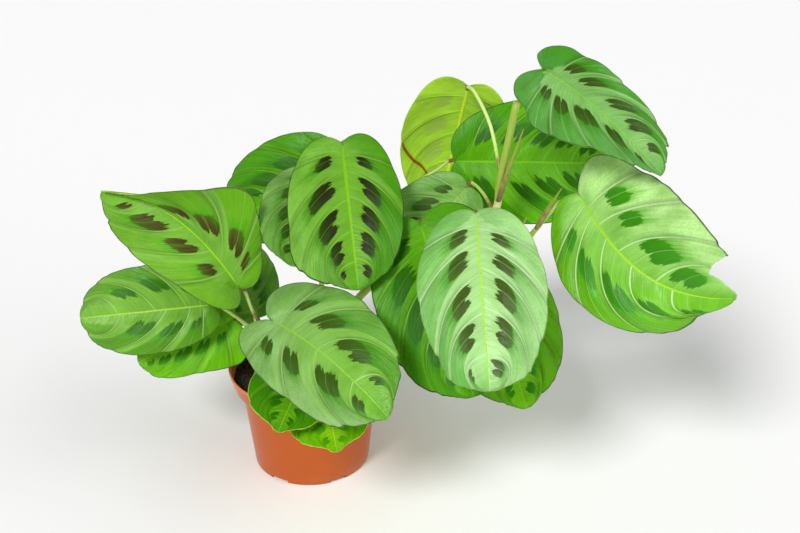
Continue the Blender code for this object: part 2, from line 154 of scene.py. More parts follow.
# Pot and soil
POT_HEIGHT = 0.081
RIM_RADIUS = 0.060
BAND_RADIUS = 0.056
BAND_BOTTOM = 0.066
BODY_TOP_RADIUS = 0.051
BASE_RADIUS = 0.044
POT_WALL = 0.0013
FLOOR_TOP = 0.0045
REST_DISC_RADIUS = 0.022
FOOT_RING_INNER = 0.038
CHANNEL_DEPTH = 0.0025
CHANNEL_SLOPE_IN = 0.0013
CHANNEL_SLOPE_OUT = 0.0008
FOOT_BEVEL = 0.0003
REST_ROUND = 0.0005
BASE_ROUND = 0.0012
BAND_ROUND = 0.0006
FOOT_COUNT = 6
FOOT_NOTCH_WIDTH = 0.014
FOOT_NOTCH_REACH = 0.011
DRAIN_COUNT = 6
DRAIN_RADIUS = 0.0035
POT_SEGMENTS = 180
SOIL_TOP = 0.073
SOIL_SEGMENTS = 240
CRUMB_COUNT = 900
CRUMB_SMALLEST = 0.0006
CRUMB_SPREAD = 0.0014

# Waves of the soil's top: how close together they lie, and their height
SOIL_WAVES = ((150, 0.0009), (310, 0.0007), (640, 0.0005), (1300, 0.0003))

# Plastic in its darker and lighter flow marks, a painted highlight along its lip and its dust; peat and
# fibres
PLASTIC = ((0.43, 0.080, 0.009), (0.49, 0.098, 0.014))
PAINTED_LIP_HIGHLIGHT = (0.80, 0.26, 0.07)
DUST = (0.40, 0.25, 0.16)
PEAT = ((0.007, 0.005, 0.004), (0.035, 0.021, 0.013))
FIBRE = (0.10, 0.055, 0.028)

# Each blade: the place of its base, heading, pitch and roll in degrees, its length, and what
# sets it apart from the common blade below.
# Outline: width, asymmetry makes the plus side wider, lobe rounds the base, point draws out
# the tip (how far, over what reach), taper slims one side towards the tip (side, share),
# narrow draws a margin in, or out where the share is negative (side, place, reach, share),
# nib is how deep the margin is notched where a vein ends, and tear gives the share of the
# minus side that is left at some places.
# Form: bend down over its length, sweep and bow to the side, fold of the halves, twist of
# the tip, and quilt for the pillows between veins. petiole is the petiole's radius and
# skin its colour.
# Look: tone names the colouring, bloom is the waxy cover with painted sheen where the
# light falls (level, change towards the tip, change towards the plus side), and mark is a
# scar (start, end, half width).
# plus and minus hold each side's blotches: first and last side vein, as shares from base
# to tip, then inner and outer end, as shares from midrib to margin. A negative outer end
# leaves the strip without a blotch.
LEAVES = {
    "leaf_left_high": dict(
        base=(-0.044, -0.028, 0.158), heading=170, pitch=35, roll=-65, length=0.116,
        width=0.70, asymmetry=0.15, lobe=0.40, sweep=0.10, fold=26, twist=55, taper=(1, 0.5),
        tone="light", bloom_and_sheen=(0.25, -0.2, -0.25), bow=0.035, quilt=1.1,
        narrow=((1, 0.82, 0.12, 0.66), (1, 0.42, 0.11, -0.26), (-1, 0.10, 0.14, 0.22)),
        plus=((0.155, 0.185, 0.30, 0.62), (0.225, 0.30, 0.28, 0.58), (0.365, 0.455, 0.30, 0.60),
              (0.525, 0.625, 0.35, 0.68), (0.71, 0.76, 0.45, 0.72)),
        minus=((0.29, 0.36, 0.15, 0.42), (0.46, 0.555, 0.14, 0.44), (0.645, 0.775, 0.15, 0.55),
               (0.855, 0.89, 0.15, 0.50)),
    ),
    "leaf_left_low": dict(
        base=(-0.068, -0.012, 0.136), heading=-175, pitch=-4, roll=-63, length=0.095,
        width=0.68, asymmetry=0.04, lobe=0.45, bend=35, tone="middle", bloom_and_sheen=(0.1, 0.6, 0.1), quilt=1.3,
        plus=((0.215, 0.29, 0.30, 0.60), (0.36, 0.47, 0.32, 0.62), (0.595, 0.705, 0.28, 0.58),
              (0.815, 0.865, 0.30, -0.20)),
        minus=((0.185, 0.24, 0.30, 0.55), (0.32, 0.415, 0.24, 0.54), (0.52, 0.655, 0.17, 0.48),
               (0.80, 0.845, 0.20, -0.20)),
    ),
    "leaf_left_under": dict(
        base=(-0.055, 0.0, 0.117), heading=-165, pitch=-20, roll=-52, length=0.076,
        width=0.66, lobe=0.45, tone="lush", narrow=((-1, 0.20, 0.20, -0.75),),
    ),
    "leaf_left_inner": dict(
        base=(-0.039, 0.015, 0.111), heading=117, pitch=17, roll=-22, length=0.090,
        width=0.68, tone="middle",
    ),
    "leaf_front_large": dict(
        base=(-0.019, -0.062, 0.151), heading=-47, pitch=-10, roll=41, length=0.122,
        width=0.66, asymmetry=-0.06, lobe=0.90, bend=35, sweep=-0.04, tone="grey",
        bloom_and_sheen=(0.55, -1.5, 0.40), narrow=((1, 1.0, 0.16, 0.38), (-1, 1.0, 0.10, 0.15)), nib=0.05,
        quilt=1.1,
        plus=((0.205, 0.29, 0.30, 0.58), (0.37, 0.485, 0.20, 0.52), (0.61, 0.75, 0.13, 0.50),
              (0.84, 0.895, 0.15, 0.45)),
        minus=((0.24, 0.305, 0.28, 0.58), (0.39, 0.51, 0.20, 0.52), (0.61, 0.76, 0.16, 0.52),
               (0.845, 0.88, 0.20, 0.50)),
    ),
    "leaf_front_under": dict(
        base=(0.007, -0.055, 0.106), heading=-102, pitch=1, roll=-12, length=0.080,
        width=0.75, asymmetry=0.10, bend=50, tone="young", bloom_and_sheen=(0.1, 0.0, 0.0),
        narrow=((1, 1.0, 0.05, 0.60), (-1, 1.0, 0.05, 0.60)), point=(0.05, 0.05),
    ),
    "leaf_front_rim": dict(
        base=(0.017, -0.062, 0.091), heading=-81, pitch=2, roll=8, length=0.074,
        width=0.80, bend=50, tone="youngest", bloom_and_sheen=(0.1, 0.0, 0.0),
        narrow=((1, 1.0, 0.05, 0.60), (-1, 1.0, 0.05, 0.60)), point=(0.06, 0.05),
    ),
    "leaf_back_left": dict(
        base=(0.023, 0.070, 0.218), heading=163, pitch=-35, roll=-84, length=0.114,
        width=0.70, tone="deep", bloom_and_sheen=(0.1, -0.3, 0.0),
    ),
    "leaf_back_middle": dict(
        base=(0.005, 0.035, 0.220), heading=-96, pitch=-23, roll=-15, length=0.092,
        width=0.68, tone="grey", bloom_and_sheen=(0.5, -0.6, 0.0),
    ),
    "leaf_centre": dict(
        base=(0.028, 0.015, 0.249), heading=-81, pitch=-41, roll=6, length=0.112,
        width=0.70, asymmetry=0.06, lobe=0.45, tone="brown", bloom_and_sheen=(0.45, -0.5, 0.6),
        narrow=((1, 0.80, 0.18, -0.26),),
        plus=((0.21, 0.30, 0.19, 0.46), (0.395, 0.51, 0.17, 0.55), (0.60, 0.715, 0.15, 0.51),
              (0.77, 0.855, 0.15, 0.49), (0.905, 0.93, 0.25, 0.50)),
        minus=((0.24, 0.31, 0.21, 0.47), (0.40, 0.51, 0.19, 0.52), (0.575, 0.68, 0.17, 0.50),
               (0.735, 0.83, 0.12, 0.47), (0.89, 0.935, 0.15, 0.58)),
    ),
    "leaf_turned": dict(
        base=(0.118, 0.067, 0.274), heading=122, pitch=-72, roll=41, length=0.119,
        width=0.70, lobe=0.35, tone="deep", bloom_and_sheen=(0.1, 0.0, 0.0), quilt=0.45,
        mark=((0.38, -0.95), (0.76, -0.43), 0.0008), skin="pale_petiole",
    ),
    "leaf_back_right": dict(
        base=(0.109, 0.050, 0.223), heading=0, pitch=-1, roll=69, length=0.122,
        width=0.75, tone="deep", bloom_and_sheen=(0.2, 0.6, 0.0),
        plus=((0.215, 0.30, 0.22, 0.65), (0.435, 0.505, 0.25, 0.58), (0.575, 0.67, 0.18, 0.55),
              (0.74, 0.815, 0.14, 0.50), (0.88, 0.92, 0.2, 0.50)),
        minus=((0.225, 0.30, 0.25, 0.55), (0.385, 0.475, 0.22, 0.55), (0.545, 0.635, 0.20, 0.50),
               (0.685, 0.76, 0.20, 0.50), (0.815, 0.88, 0.12, 0.45)),
    ),
    "leaf_top_right": dict(
        base=(0.164, 0.0, 0.306), heading=-46, pitch=-26, roll=66, length=0.110,
        width=0.62, asymmetry=0.15, lobe=0.60, sweep=-0.05, fold=20, twist=45,
        taper=(1, 0.55), tone="dusk", bloom_and_sheen=(0.3, 0.2, 0.3),
        narrow=((-1, 0.58, 0.20, 0.20), (-1, 0.10, 0.12, 0.25), (-1, 0.36, 0.04, 0.06),
                (-1, 0.74, 0.05, 0.08), (1, 0.30, 0.05, 0.10)),
        nib=0.065,
        plus=((0.215, 0.275, 0.22, 0.45), (0.315, 0.38, 0.26, 0.55), (0.43, 0.55, 0.24, 0.55),
              (0.64, 0.745, 0.20, 0.60), (0.835, 0.875, 0.30, 0.60)),
        minus=((0.25, 0.31, 0.25, 0.60), (0.37, 0.435, 0.20, 0.55), (0.555, 0.635, 0.20, 0.58),
               (0.71, 0.785, 0.15, 0.60), (0.855, 0.90, 0.20, 0.60)),
    ),
    "leaf_far_right": dict(
        base=(0.190, -0.020, 0.225), heading=-50, pitch=-12, roll=55, length=0.134,
        width=0.72, lobe=0.45, sweep=0.09, fold=12, twist=-40, tone="bright",
        tear=((0.605, 1.0), (0.80, 0.67), (0.825, 0.60), (0.86, 0.70), (0.95, 0.66), (1.0, 0.95)),
        bloom_and_sheen=(0.27, -0.7, -0.65), bow=0.06, petiole=0.0017, quilt=1.3, nib=0.035,
        narrow=((1, 0.92, 0.10, 0.30), (1, 1.0, 0.14, 0.55)),
        plus=((0.215, 0.27, 0.30, 0.55), (0.32, 0.42, 0.30, 0.58), (0.485, 0.615, 0.25, 0.60),
              (0.665, 0.76, 0.30, 0.60), (0.845, 0.91, 0.30, 0.70)),
        minus=((0.26, 0.345, 0.30, 0.60), (0.40, 0.48, 0.25, 0.52), (0.58, 0.72, 0.20, 0.55),
               (0.78, 0.875, 0.10, 0.50)),
    ),
    "leaf_right_front": dict(
        base=(0.118, -0.050, 0.224), heading=-86, pitch=-44, roll=8, length=0.121,
        width=0.69, quilt=1.25, tone="mint", bloom_and_sheen=(0.5, -0.4, -0.45), nib=0.035,
        narrow=((1, 0.93, 0.08, -0.36), (-1, 0.92, 0.08, -0.30), (1, 0.70, 0.12, 0.05),
                (1, 0.04, 0.12, 0.14), (-1, 0.04, 0.12, 0.10)),
        plus=((0.22, 0.305, 0.14, 0.41), (0.365, 0.465, 0.13, 0.42), (0.555, 0.66, 0.13, 0.44),
              (0.735, 0.82, 0.14, 0.45), (0.89, 0.93, 0.40, 0.65)),
        minus=((0.255, 0.32, 0.18, 0.44), (0.385, 0.46, 0.16, 0.45), (0.52, 0.635, 0.15, 0.46),
               (0.71, 0.81, 0.14, 0.46), (0.89, 0.94, 0.06, 0.40)),
    ),
    "leaf_right_side": dict(
        base=(0.082, -0.025, 0.206), heading=-67, pitch=-45, roll=23, length=0.126,
        width=0.80, asymmetry=-0.08, lobe=0.50, tone="deep", bloom_and_sheen=(0.25, -0.8, 0.2),
        plus=((0.185, 0.27, 0.22, 0.60), (0.32, 0.425, 0.22, 0.62), (0.505, 0.625, 0.20, 0.60),
              (0.71, 0.805, 0.20, 0.55), (0.875, 0.92, 0.20, 0.50)),
    ),
    "leaf_right_under": dict(
        base=(0.126, -0.015, 0.177), heading=-66, pitch=-50, roll=26, length=0.112,
        width=0.70, tone="lush", bloom_and_sheen=(0.0, 0.0, 0.0),
        narrow=((1, 0.93, 0.12, 0.25), (-1, 0.93, 0.12, 0.25)),
    ),
    "leaf_between": dict(
        base=(0.117, 0.026, 0.212), heading=-168, pitch=-45, roll=-63, length=0.094,
        width=0.70, tone="grey", bloom_and_sheen=(0.6, 0.0, 0.0),
    ),
}
COMMON_LEAF = dict(
    asymmetry=0.0, lobe=0.25, point=(0.03, 0.045), taper=(1, 0.0), narrow=(), nib=0.028,
    tear=((0.0, 1.0),), bend=25, sweep=0.0, bow=0.0, fold=4, twist=0, quilt=0.9,
    petiole=PETIOLE_RADIUS, skin="petiole", bloom_and_sheen=(0.3, 0.0, 0.0), mark=None,
    plus=((0.195, 0.27, 0.20, 0.48), (0.345, 0.455, 0.16, 0.50), (0.535, 0.655, 0.14, 0.52),
          (0.72, 0.815, 0.14, 0.48), (0.875, 0.92, 0.15, 0.45)),
    minus=((0.225, 0.30, 0.20, 0.48), (0.385, 0.485, 0.17, 0.50), (0.565, 0.685, 0.15, 0.50),
           (0.75, 0.835, 0.14, 0.46), (0.89, 0.93, 0.12, 0.42)),
)

# Colourings: green, pale fishbone, raised veins, blotch, its bright outer end, midrib,
# margin and waxy bloom with painted sheen, a pale grey-green for the white light that the
# waxy face reflects, then how far the bloom covers the blade, how strongly its upper
# face reflects, and how wide its midrib is drawn.
TONES = {
    # Greyer, bluer greens: partly the leaf's own colour, partly painted sheen of the white light
    "mint": dict(
        green=(0.13, 0.41, 0.050), pale=(0.34, 0.62, 0.20), vein=(0.50, 0.76, 0.36),
        blotch=(0.042, 0.072, 0.001), flame=(0.05, 0.27, 0.002), midrib=(0.36, 0.68, 0.02),
        margin=(0.20, 0.36, 0.08), bloom_and_sheen=(0.36, 0.62, 0.23), cover=0.72, gloss=0.32, rib=1.0,
    ),
    # Partly painted sheen of the white light in its grey-green bloom
    "grey": dict(
        green=(0.075, 0.28, 0.001), pale=(0.17, 0.43, 0.03), vein=(0.32, 0.57, 0.13),
        blotch=(0.034, 0.082, 0.001), flame=(0.040, 0.24, 0.001), midrib=(0.25, 0.53, 0.05),
        margin=(0.05, 0.12, 0.02), bloom_and_sheen=(0.23, 0.43, 0.12), cover=0.85, gloss=0.27, rib=0.95,
    ),
    "light": dict(
        green=(0.11, 0.34, 0.002), pale=(0.17, 0.42, 0.04), vein=(0.27, 0.53, 0.07),
        blotch=(0.055, 0.034, 0.002), flame=(0.065, 0.33, 0.000), midrib=(0.34, 0.66, 0.01),
        margin=(0.07, 0.09, 0.02), bloom_and_sheen=(0.20, 0.44, 0.04), cover=0.75, gloss=0.18, rib=1.4,
    ),
    "bright": dict(
        green=(0.13, 0.43, 0.003), pale=(0.17, 0.50, 0.02), vein=(0.60, 0.86, 0.38),
        blotch=(0.034, 0.24, 0.001), flame=(0.07, 0.40, 0.001), midrib=(0.36, 0.72, 0.03),
        margin=(0.05, 0.10, 0.02), bloom_and_sheen=(0.52, 0.82, 0.30), cover=0.9, gloss=0.28, rib=1.3,
    ),
    "middle": dict(
        green=(0.085, 0.29, 0.003), pale=(0.16, 0.40, 0.03), vein=(0.34, 0.58, 0.14),
        blotch=(0.030, 0.155, 0.001), flame=(0.06, 0.30, 0.001), midrib=(0.34, 0.64, 0.04),
        margin=(0.04, 0.09, 0.01), bloom_and_sheen=(0.25, 0.49, 0.08), cover=0.6, gloss=0.28, rib=1.2,
    ),
    # A bright green that paints light on blades hanging in shade
    "lush": dict(
        green=(0.13, 0.45, 0.000), pale=(0.17, 0.52, 0.006), vein=(0.24, 0.58, 0.03),
        blotch=(0.030, 0.22, 0.000), flame=(0.08, 0.36, 0.000), midrib=(0.28, 0.60, 0.01),
        margin=(0.05, 0.14, 0.005), bloom_and_sheen=(0.24, 0.48, 0.06), cover=0.2, gloss=0.15, rib=1.2,
    ),
    "young": dict(
        green=(0.05, 0.25, 0.000), pale=(0.12, 0.37, 0.004), vein=(0.20, 0.46, 0.02),
        blotch=(0.022, 0.15, 0.000), flame=(0.05, 0.25, 0.000), midrib=(0.26, 0.52, 0.02),
        margin=(0.42, 0.56, 0.05), bloom_and_sheen=(0.20, 0.42, 0.06), cover=0.2, gloss=0.10, rib=1.2,
    ),
    "youngest": dict(
        green=(0.14, 0.43, 0.000), pale=(0.24, 0.54, 0.006), vein=(0.30, 0.58, 0.02),
        blotch=(0.06, 0.29, 0.001), flame=(0.13, 0.43, 0.000), midrib=(0.40, 0.64, 0.04),
        margin=(0.50, 0.60, 0.05), bloom_and_sheen=(0.30, 0.52, 0.08), cover=0.1, gloss=0.10, rib=1.2,
    ),
    "brown": dict(
        green=(0.055, 0.25, 0.000), pale=(0.105, 0.31, 0.006), vein=(0.20, 0.46, 0.03),
        blotch=(0.015, 0.014, 0.001), flame=(0.030, 0.17, 0.000), midrib=(0.19, 0.48, 0.001),
        margin=(0.03, 0.06, 0.01), bloom_and_sheen=(0.17, 0.41, 0.04), cover=0.8, gloss=0.15, rib=1.6,
    ),
    # Partly painted sheen of the white light in its pale grey-green
    "dusk": dict(
        green=(0.055, 0.27, 0.014), pale=(0.23, 0.50, 0.12), vein=(0.26, 0.54, 0.13),
        blotch=(0.034, 0.068, 0.002), flame=(0.040, 0.22, 0.001), midrib=(0.24, 0.60, 0.03),
        margin=(0.04, 0.10, 0.01), bloom_and_sheen=(0.17, 0.40, 0.11), cover=0.6, gloss=0.22, rib=1.0,
    ),
    "deep": dict(
        green=(0.055, 0.265, 0.000), pale=(0.10, 0.36, 0.002), vein=(0.16, 0.44, 0.02),
        blotch=(0.022, 0.125, 0.000), flame=(0.03, 0.21, 0.000), midrib=(0.16, 0.47, 0.004),
        margin=(0.015, 0.04, 0.004), bloom_and_sheen=(0.13, 0.36, 0.02), cover=0.5, gloss=0.15, rib=1.2,
    ),
}

# Each shoot: its stem's foot in the soil and its route up from there, the radius at the foot
# and at the top, for each leaf the points that its petiole passes on the way from the
# stem, and its sheaths or new shoots, each with its route and its widest radius.
SHOOTS = {
    "shoot_left": dict(
        stem=[(-0.012, -0.012), (-0.013, -0.012, 0.078), (-0.022, -0.015, 0.098),
              (-0.031, -0.019, 0.118), (-0.035, -0.022, 0.131)],
        radii=(0.0026, 0.0016),
        petioles={
            "leaf_left_high": [(-0.033, -0.021, 0.126), (-0.037, -0.025, 0.141)],
            "leaf_left_low": [(-0.027, -0.017, 0.109), (-0.048, -0.016, 0.127)],
            "leaf_left_under": [(-0.020, -0.014, 0.094), (-0.037, -0.009, 0.107)],
            "leaf_left_inner": [(-0.017, -0.013, 0.088), (-0.029, 0.0, 0.100)],
        },
    ),
    "shoot_front": dict(
        stem=[(0.002, -0.026), (0.001, -0.027, 0.078), (-0.003, -0.034, 0.098),
              (-0.010, -0.045, 0.125), (-0.017, -0.056, 0.142)],
        radii=(0.0026, 0.0013),
        petioles={
            "leaf_front_large": [(-0.010, -0.045, 0.125), (-0.017, -0.056, 0.142)],
            "leaf_front_under": [(-0.001, -0.030, 0.087), (0.004, -0.045, 0.100)],
            "leaf_front_rim": [(0.001, -0.027, 0.078), (0.009, -0.042, 0.088)],
        },
    ),
    "shoot_back": dict(
        stem=[(0.004, 0.016), (0.004, 0.017, 0.078), (0.008, 0.021, 0.120),
              (0.014, 0.033, 0.165), (0.021, 0.045, 0.200), (0.027, 0.042, 0.232)],
        radii=(0.0028, 0.0015),
        petioles={
            "leaf_centre": [(0.025, 0.044, 0.220), (0.029, 0.036, 0.242)],
            "leaf_back_middle": [(0.014, 0.033, 0.165), (0.009, 0.046, 0.200)],
            "leaf_back_left": [(0.023, 0.044, 0.210), (0.035, 0.056, 0.215),
                               (0.036, 0.070, 0.223)],
            "leaf_back_right": [(0.014, 0.033, 0.165), (0.055, 0.044, 0.192),
                                (0.094, 0.052, 0.214)],
        },
    ),
    "shoot_right": dict(
        stem=[(0.014, 0.004), (0.015, 0.004, 0.078), (0.024, 0.004, 0.106),
              (0.039, 0.003, 0.135), (0.070, 0.004, 0.162), (0.105, 0.005, 0.184),
              (0.134, 0.002, 0.202), (0.138, 0.001, 0.228), (0.147, 0.0, 0.284)],
        radii=(0.0030, 0.0026),
        petioles={
            "leaf_top_right": [(0.145, 0.0, 0.272), (0.152, 0.002, 0.292)],
            "leaf_turned": [(0.138, 0.001, 0.232), (0.131, 0.014, 0.262),
                            (0.122, 0.044, 0.276)],
            "leaf_right_side": [(0.105, 0.005, 0.184), (0.092, -0.010, 0.196)],
            "leaf_right_front": [(0.134, 0.002, 0.202), (0.128, -0.020, 0.212)],
            "leaf_between": [(0.134, 0.003, 0.203), (0.128, 0.018, 0.210)],
        },
        sheaths={
            "sheath_tall": ([(0.137, 0.0, 0.212), (0.142, -0.002, 0.232), (0.152, -0.003, 0.266)],
                            0.0026),
        },
    ),
    "shoot_low_right": dict(
        stem=[(0.024, -0.012), (0.025, -0.012, 0.078), (0.040, -0.010, 0.102),
              (0.080, -0.006, 0.140), (0.125, -0.004, 0.165), (0.152, -0.005, 0.178),
              (0.166, -0.008, 0.197)],
        radii=(0.0028, 0.0017),
        petioles={
            "leaf_far_right": [(0.160, -0.006, 0.188), (0.177, -0.010, 0.213)],
            "leaf_right_under": [(0.108, -0.005, 0.156), (0.120, -0.002, 0.170)],
        },
        sheaths={
            "sheath_bud": ([(0.149, -0.005, 0.177), (0.152, -0.006, 0.190), (0.157, -0.007, 0.203)],
                           0.0022),
            "sheath_reach": ([(0.164, -0.0075, 0.194), (0.171, -0.010, 0.210),
                              (0.179, -0.013, 0.227)], 0.0026),
        },
    ),
}


def operator(name, swapped=False):
    """A method of Value that adds the Math node of one operation."""
    def method(self, other):
        pair = (other, self) if swapped else (self, other)
        return self.nodes.math(name, *pair)
    return method


class Value:
    """What a shader node puts out. Arithmetic on it adds Math nodes to its tree."""

    __add__ = __radd__ = operator("ADD")
    __mul__ = __rmul__ = operator("MULTIPLY")
    __sub__ = operator("SUBTRACT")
    __rsub__ = operator("SUBTRACT", swapped=True)
    __truediv__ = operator("DIVIDE")
    __pow__ = operator("POWER")

    def __init__(self, nodes, socket):
        self.nodes = nodes
        self.socket = socket

    def __abs__(self):
        return self.nodes.math("ABSOLUTE", self)


class Nodes:
    """Adds shader nodes to a tree; most methods return the Value that they make."""

    def __init__(self, tree):
        self.tree = tree

    def add(self, kind, *fed, **settings):
        """A node with its settings, and its first inputs fed in their order."""
        made = self.tree.nodes.new("ShaderNode" + kind)
        for key, value in settings.items():
            setattr(made, key, value)
        for socket, value in zip(made.inputs, fed):
            self.feed(socket, value)
        return made

    def feed(self, socket, value):
        """Links a Value to a socket, or sets a plain number or colour on it."""
        if isinstance(value, Value):
            self.tree.links.new(value.socket, socket)
        elif socket.type == "RGBA":
            socket.default_value = (*value, 1.0)
        else:
            socket.default_value = value

    def feed_all(self, sockets, values):
        for key, value in values.items():
            self.feed(sockets[key], value)

    def out(self, node, key=0):
        return Value(self, node.outputs[key])

    def math(self, operation, *values):
        return self.out(self.add("Math", *values, operation=operation))

    def step(self, value, low, high, start=0.0, end=1.0):
        """A smooth step: start below low, end above high."""
        made = self.add("MapRange", value, low, high, start, end, interpolation_type="SMOOTHSTEP")
        return self.out(made)

    def fall(self, value, low, high, start=1.0, end=0.0):
        return self.step(value, low, high, start, end)

    def mix(self, share, first, second, blend="MIX"):
        made = self.add("Mix", data_type="RGBA", blend_type=blend, clamp_factor=True)
        self.feed_all(made.inputs, {"Factor": share, 6: first, 7: second})
        return self.out(made, 2)

    def noise(self, place, scale, detail=2.0, roughness=0.5):
        made = self.add("TexNoise")
        self.feed_all(made.inputs, {"Vector": place, "Scale": scale, "Detail": detail,
                                    "Roughness": roughness})
        return self.out(made)

    def vector(self, x, y, z):
        return self.out(self.add("CombineXYZ", x, y, z))

    def parts(self, vector):
        """The x, y and z of a vector."""
        made = self.add("SeparateXYZ", vector)
        return [self.out(made, axis) for axis in range(3)]

    def attribute(self, name, key="Vector"):
        """An attribute of the piece's own mesh."""
        return self.out(self.add("Attribute", attribute_name=name), key)

    def place(self):
        return self.out(self.add("TexCoord"), "Object")

    def group(self, tree, **values):
        made = self.add("Group", node_tree=tree)
        self.feed_all(made.inputs, values)
        return [self.out(made, key) for key in GROUP_OUTPUTS]

    def surface(self, shader, colour, roughness, height, depth, strength):
        """Feeds a shader's colour and roughness, and its fine relief through a Bump node."""
        relief = self.add("Bump")
        self.feed_all(relief.inputs, {"Height": height, "Distance": depth, "Strength": strength})
        self.feed_all(shader.inputs, {"Base Color": colour, "Roughness": roughness,
                                      "Normal": self.out(relief)})


def new_group(name, colours, numbers=()):
    """An empty node group: its nodes, the values that it is fed, and its output sockets."""
    tree = bpy.data.node_groups.new(name, "ShaderNodeTree")
    inputs = {**dict.fromkeys(colours, "Color"), **dict.fromkeys(numbers, "Float")}
    for sockets, way in ((inputs, "INPUT"), (GROUP_OUTPUTS, "OUTPUT")):
        for socket, kind in sockets.items():
            tree.interface.new_socket(socket, in_out=way, socket_type="NodeSocket" + kind)
    nodes = Nodes(tree)
    given = tree.nodes.new("NodeGroupInput")
    end = tree.nodes.new("NodeGroupOutput")
    return nodes, {key: nodes.out(given, key) for key in inputs}, end.inputs


def new_material(name, values):
    """A material with one Principled shader, whose plain values are set on its own sockets."""
    made = bpy.data.materials.new(name)
    made.use_nodes = True
    shader = made.node_tree.nodes["Principled BSDF"]
    nodes = Nodes(made.node_tree)
    nodes.feed_all(shader.inputs, values)
    return made, nodes, shader


def leaf_pattern_group():
    """Colour, roughness and fine relief of a blade, from attributes of its mesh.

    Between two main side veins lies one strip. strip holds the place across it from one
    main vein to the next, the place out from the midrib, and a number of its own. spot
    holds the inner and outer end of its blotch and where across the strip it ends. tone
    holds the bloom with its painted sheen, where across the strip the blotch starts, and
    the strip's width.
    mark holds the distance from a scar.
    The blotch has two rounded fingers at its inner end and a ragged outer end, with bright
    green beyond it. The pale fishbone fills the rest from the midrib out, and forks
    outwards along each main vein. Streaks run along the side veins, and painted shade
    darkens the creases beside the main veins.
    """
    nodes, given, out = new_group(
        "leaf_pattern",
        ("Green", "Pale", "Vein", "Blotch", "Flame", "Midrib", "Margin", "Bloom_and_sheen"),
        ("Cover", "Rib"),
    )
    along = nodes.parts(nodes.attribute("blade"))[0]
    across, out_from, own = nodes.parts(nodes.attribute("strip"))
    inner, outer, end = nodes.parts(nodes.attribute("spot"))
    bloom_and_sheen, start, width = nodes.parts(nodes.attribute("tone"))

    # Noise that is long along the side veins and fine across them, on both sides of zero
    shifted = across * width * 9.0 + own * 37.0
    teeth = nodes.noise(nodes.vector(shifted, own * 5.0, own), 1.0, 2.0, 0.6) - 0.5
    streak = nodes.noise(nodes.vector(shifted, out_from * 2.2, own), 1.0) - 0.5
    hair = nodes.noise(nodes.vector(shifted * 3.6, out_from * 3.0, own), 1.0) - 0.5
    bite = nodes.noise(nodes.vector(shifted * 1.5, own * 9.0, own), 1.0, 1.0) - 0.5

    # Noise in the blade's own space
    cloud = nodes.noise(nodes.place(), 42.0, 3.0)
    speckle = nodes.noise(nodes.place(), 800.0, 3.0, 0.7)
    skin = nodes.noise(nodes.place(), 1500.0)

    # Blotch: share and middle run across it, from 0 to 1 and from -1 to 1
    share = (across - start) / (end - start)
    middle = share * 2.0 - 1.0
    depth = nodes.math("MAXIMUM", outer - inner, 0.0)
    off_notch = (middle - (own - 0.5) * 0.3) / 0.24
    notch = nodes.math("EXPONENT", abs(off_notch) ** 1.6 * -1.0) * (own * 0.28 + 0.06)
    corners = abs(middle) ** 6.0 * 0.16
    drawn_in = (notch + corners + (abs(bite) * 0.9 - 0.06)) * depth
    lean = (share - 0.5) * (own - 0.6)
    near_edge = inner + drawn_in + lean * depth * 0.45
    past = out_from - near_edge
    near = nodes.step(past, -0.002, 0.012)
    rounded = abs(middle) ** 3.0 * (depth * 0.22)
    far_edge = outer + (teeth * 0.10 + hair * 0.18) - rounded
    far = nodes.fall(out_from - far_edge, -0.012, 0.014)
    sides = nodes.step(share, -0.10, -0.04) * nodes.fall(share, 1.02, 1.08)
    dark = near * far * sides

    # Bright outer end
    wide = nodes.step(share, -0.12, 0.08) * nodes.fall(share, 0.92, 1.2)
    tail = out_from - far_edge - teeth * 0.3
    flame = near * nodes.fall(tail, 0.0, 0.20) * wide

    # Pale fishbone
    narrowing = 1.0 - out_from / (nodes.math("MAXIMUM", outer, 0.3) + 0.12)
    ahead = 1.0 - across - narrowing * 0.42
    behind = across - narrowing * 0.10
    fork = nodes.math("MINIMUM", ahead, behind)
    beyond = nodes.math("MINIMUM", past, fork * 0.9) - streak * 0.14
    softer = nodes.step(out_from, 0.25, 0.8) * 0.16
    bone = nodes.fall(beyond, -0.04 - softer, softer + 0.05) * nodes.fall(along, 0.86, 1.0, end=0.35)

    # Veins
    to_vein = nodes.math("MINIMUM", abs(across), abs(1.0 - across)) * width
    main_vein = nodes.fall(to_vein, 0.008, 0.038) * nodes.fall(out_from, 0.5, 1.0, end=0.45)
    # Painted shade in the creases beside each main vein
    crease_shade = nodes.fall(to_vein, 0.03, 0.16) * nodes.step(out_from, 0.1, 0.4)
    second_vein = nodes.fall(abs(share - 0.5) * width, 0.005, 0.045)
    midrib = nodes.fall(out_from * (along * 0.7 + 0.75) / given["Rib"], 0.009, 0.017)
    rim = nodes.step(out_from, 0.975, 0.993)

    # Ground, lighter and darker in streaks, with the waxy bloom and its painted sheen over it
    # level also darkens the ground by the painted shade in the creases at the main veins
    level = streak * 0.32 + hair * 0.26 + 1.0 + (cloud - 0.5) * 0.5 - crease_shade * 0.30
    colour = nodes.mix(bone, given["Green"], given["Pale"])
    colour = nodes.mix(flame * 0.85, colour, given["Flame"])
    # Bloom: waxy cover and painted sheen, a pale grey-green in clouds and specks
    cover = bloom_and_sheen * given["Cover"] * nodes.step(cloud, 0.25, 0.6, 0.6, 1.15)
    cover = cover * (1.0 - flame * 0.6) * nodes.step(speckle, 0.35, 0.65, 0.85, 1.15)
    colour = nodes.mix(cover, colour, given["Bloom_and_sheen"])
    colour = nodes.mix(1.0, colour, nodes.vector(level, level, level), "MULTIPLY")

